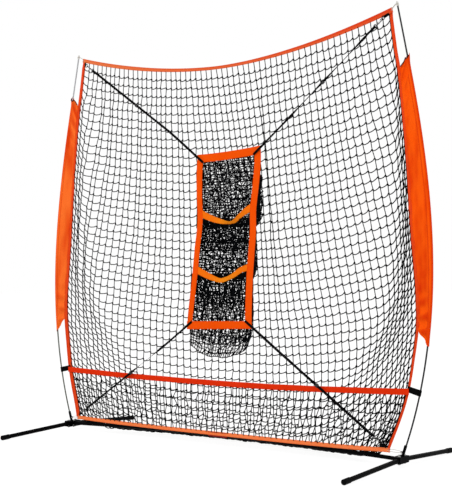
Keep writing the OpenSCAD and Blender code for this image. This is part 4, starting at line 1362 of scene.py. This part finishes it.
straps = {
    "upper": {"from": (0.944, 0.013, 2.070), "to": (0.188, 0.0849, 1.514), "slide": 0.425},
    "lower": {"from": (0.942, -0.020, 0.110), "to": (0.188, 0.0144, 0.622), "slide": 0.420},
    # the straps lie over the target's corners and end at their inner corners, as [x, height]
    "ends": {"upper_left": (-0.163, 1.477), "upper_right": (0.164, 1.497),
             "lower_left": (-0.184, 0.634), "lower_right": (0.158, 0.645)},
    # how far a strap twists between the places where it lies flat, in degrees
    "twist": {"upper_left": (30, 46, 46, 30), "upper_right": (40, 60, 47, 20),
              "lower_left": (20, 34, 76, 20), "lower_right": (30, 46, 46, 30)},
    "flatEnds": (0.062, 0.90), "hold": 0.012,   # it lies flat there too, and this far to both sides
    "width": 0.013, "thick": 0.0013, "loop": 0.0442, "folds": 0.10,
    "up": 0.300, "down": 0.250,                 # a slider's way towards the ring and the target
}


def strapFrame(level):
    start, end = np.array(straps[level]["from"]), np.array(straps[level]["to"])
    along = unit(end - start)
    across = unit(np.cross(np.array([0, 1.0, 0]), along))
    back = np.cross(along, across)
    return start, along, across, back if back[1] > 0 else -back


def flatAtStops(steps, slide, degrees):
    # the strap lies flat where the slider sits, at rest and at both stops, and twists between them
    (first, last), hold = straps["flatEnds"], straps["hold"]
    flatAt = (first, slide - straps["up"], slide, slide + straps["down"], last)
    twist = np.zeros_like(steps)
    for a, b, most in zip(flatAt[:-1], flatAt[1:], degrees):
        share = np.clip((steps - a - hold) / (b - a - 2 * hold), 0, 1)
        twist = np.maximum(twist, math.radians(most) * np.sin(share * math.pi) ** 0.7)
    return twist


def makeStrap(level, side):
    name = f"{level}_{sideName(side)}"
    start, along, _, back = strapFrame(level)
    slide, degrees = straps[level]["slide"], straps["twist"][name]
    # from the ring to the slider the strap is double
    steps = np.linspace(straps["loop"] - 0.0012, slide - 0.001, 120)
    turn = flatAtStops(steps, slide, degrees)
    core = start + along * steps[:, None]
    out = pathFrames(core, turn)[1]
    lift = straps["thick"] / 2 + 0.00012 + 0.0022 * np.exp(-((steps - 0.0465) / 0.0035) ** 2)
    plies = [(core + out * (face * lift)[:, None], side * turn) for face in (-1, 1)]
    # then it is single: straight as far as the slider goes, and on to the target's corner
    x, z = straps["ends"][name]
    last = np.array([abs(x), float(targetY(z)) - 0.0062, z])
    reach = float((last - start) @ along)
    bend = slide + straps["down"] + 0.014
    steps = np.linspace(slide - 0.008, reach, 200)
    share = np.clip((steps - bend) / (reach - bend), 0, 1) ** 1.2
    path = start + along * steps[:, None] - back * 0.0006
    path += (last - start - along * reach + back * 0.0006) * share[:, None]
    plies.append((path, side * flatAtStops(steps, slide, degrees)))
    # the end is folded back and sewn on itself
    plies.append((path[-24:] + np.array([0, -0.0014, 0]), 0.0))
    section = flat(straps["width"], straps["thick"], 5)
    bands = [sweep("web", mirrored(ply, side), section, blackWebbing, turn) for ply, turn in plies]
    strap = place(joinPieces(name + "_webbing", bands), "black_webbing", name + "_strap")


def makeStraps():
    for level in ("upper", "lower"):
        for side in (-1, 1):
            makeStrap(level, side)


loops = {
    "thick": 0.0014,                            # webbing of the tabs, wraps and tie
    "tipCord": 0.0012, "cornerCord": 0.0011,    # radii
    "ring": 0.0208, "ringBend": 0.0024, "tabReach": {"upper": 0.0134, "lower": 0.0096},
    "wrapBend": 0.0056, "tieBend": 0.0093, "tieWidth": 0.118,
}


def arcLoop(centre, radius, count, turns):
    angle = np.linspace(-math.pi * turns, math.pi * turns, count)
    return centre + radius * np.stack([np.cos(angle), np.sin(angle), 0 * angle], 1)


def smoothPath(points, count):
    # curve through a few given points
    points = np.array(points, float)
    padded = np.concatenate([2 * points[:1] - points[1:2], points, 2 * points[-1:] - points[-2:-1]])
    out = []
    for k in range(len(points) - 1):
        a, b, c, d = padded[k:k + 4]
        t = np.linspace(0, 1, count, endpoint=k == len(points) - 2)[:, None]
        out.append(0.5 * (2 * b + (c - a) * t + (2 * a - 5 * b + 4 * c - d) * t ** 2
                          + (3 * b - a - 3 * c + d) * t ** 3))
    return np.concatenate(out)


def makeCords(kind, path, radius, node):
    # on both sides, a loop of cord from the net's corner round what holds it and back
    for side in (1, -1):
        route = mirrored(path, side)
        cord = twinePiece(f"{sideName(side)}_{kind}_cord", [route], radius, paleCord, sides=8)
        place(cord, "cord", node)


def makeCornerCords():
    tip = polePoint(poles["cuts"][3]) - np.array([0, 0, 0.004])
    corner = np.array([outline["cornerX"] - 0.006, float(planeY(outline["topZ"])),
                       outline["topZ"] - 0.014])
    side = np.array([0, 0.0028, 0])
    loop = [corner - side, corner - side + (0.006, 0, 0.012)]
    loop += list(arcLoop(tip + np.array([-0.0005, 0, 0]), 0.0079, 9, 0.88))
    loop += [corner + side + (0.006, 0, 0.012), corner + side]
    makeCords("tip", smoothPath(loop, 6), loops["tipCord"], "corner_loops")


def makeCornerTies():
    # cord from the trims' lower corners through the eyes of the hubs and back
    corner = np.array([0.979, float(planeY(0.074)) - 0.0036, 0.074])
    eye = np.array(base["eye"])
    loop = smoothPath([corner - (0, 0.0016, 0), corner + (0.022, -0.001, -0.004),
                       eye - (0.006, 0.0065, 0.002), eye - (0, 0.003, 0), eye + (0, 0.004, 0),
                       eye + (-0.006, 0.0065, 0.003), corner + (0.024, 0.006, 0.006),
                       corner + (0.004, 0.0010, 0.003)], 9)
    makeCords("corner", loop, loops["cornerCord"], "corner_ties")


def makeCornerTabs():
    # a short loop of webbing from each trim corner round the ring
    pieces = []
    for level, reach in loops["tabReach"].items():
        start, along, across, back = strapFrame(level)
        ring = start - along * loops["ring"]
        turn = np.radians(np.linspace(-90, 90, 12))
        bend = (ring + along * (0.0022 + loops["ringBend"] * np.cos(turn))[:, None]
                + back * (loops["ringBend"] * np.sin(turn))[:, None])
        near = ring - along * 0.019 + back * (reach - 0.0008)
        far = ring - along * 0.019 + back * (reach + 0.0008)
        path = evenly(np.concatenate([[near], bend, [far]]), 60)
        pieces += [ribbon("tab", mirrored(path, side), mirrored(across, side), straps["width"],
                          loops["thick"], blackWebbing) for side in (-1, 1)]
    tabs = place(joinPieces("corner_loops_of_webbing", pieces), "black_webbing", "corner_tabs")


def makePoleWraps():
    # webbing from the catch strap once round each pole, square to the pole
    pieces = []
    for side in (-1, 1):
        z = float(catchZ(side * 1.07)) - 0.003
        centre = poleAt(z, side)
        way = unit(poleAt(z + 0.01, side) - poleAt(z - 0.01, side))
        inwards = unit(np.cross(np.array([0, side * 1.0, 0]), way))
        inwards = inwards if inwards[0] * side < 0 else -inwards
        back = np.array([0, 1.0, 0])
        reach = abs(centre[0]) - float(sideX(z)) + 0.012
        front = float(planeY(z)) - centre[1] - 0.004
        turn = np.radians(np.linspace(-78, 78, 20))
        bend = (centre - inwards * (loops["wrapBend"] * np.cos(turn))[:, None]
                + back * (loops["wrapBend"] * np.sin(turn))[:, None])
        head = centre + inwards * reach + back * (front - 0.0008)
        tail = centre + inwards * (reach - 0.006) + back * (front + 0.0009)
        path = evenly(np.concatenate([[head], bend, [tail]]), 90)
        pieces.append(ribbon("wrap", path, way, outline["catchWidth"] - 0.001, loops["thick"],
                             blackWebbing))
    wraps = place(joinPieces("pole_wrap_webbing", pieces), "black_webbing", "pole_wraps")


def makeBaseTie():
    # tab that hangs from the bottom trim and closes round the middle of the crossbar
    turn = np.radians(np.linspace(400, 115, 60))
    bend, width = loops["tieBend"], loops["tieWidth"]
    ring = np.stack([0 * turn, bend * np.cos(turn), base["tube"] + bend * np.sin(turn)], 1)
    y = float(planeY(outline["bottomZ"])) - 0.0022
    rise = np.stack([np.zeros(8), np.linspace(y, ring[-1, 1] - 0.0012, 8),
                     np.linspace(0.072, ring[-1, 2], 8)], 1)
    bands = [ribbon("tie", path, (1, 0, 0), width, loops["thick"], tieCloth)
             for path in (ring, rise)]
    tie = place(joinPieces("base_tie_webbing", bands), "red_webbing", "base_tie")


makeStraps()
makeCornerCords()
makeCornerTabs()
makePoleWraps()
makeBaseTie()
makeCornerTies()
print("straps and cords made")
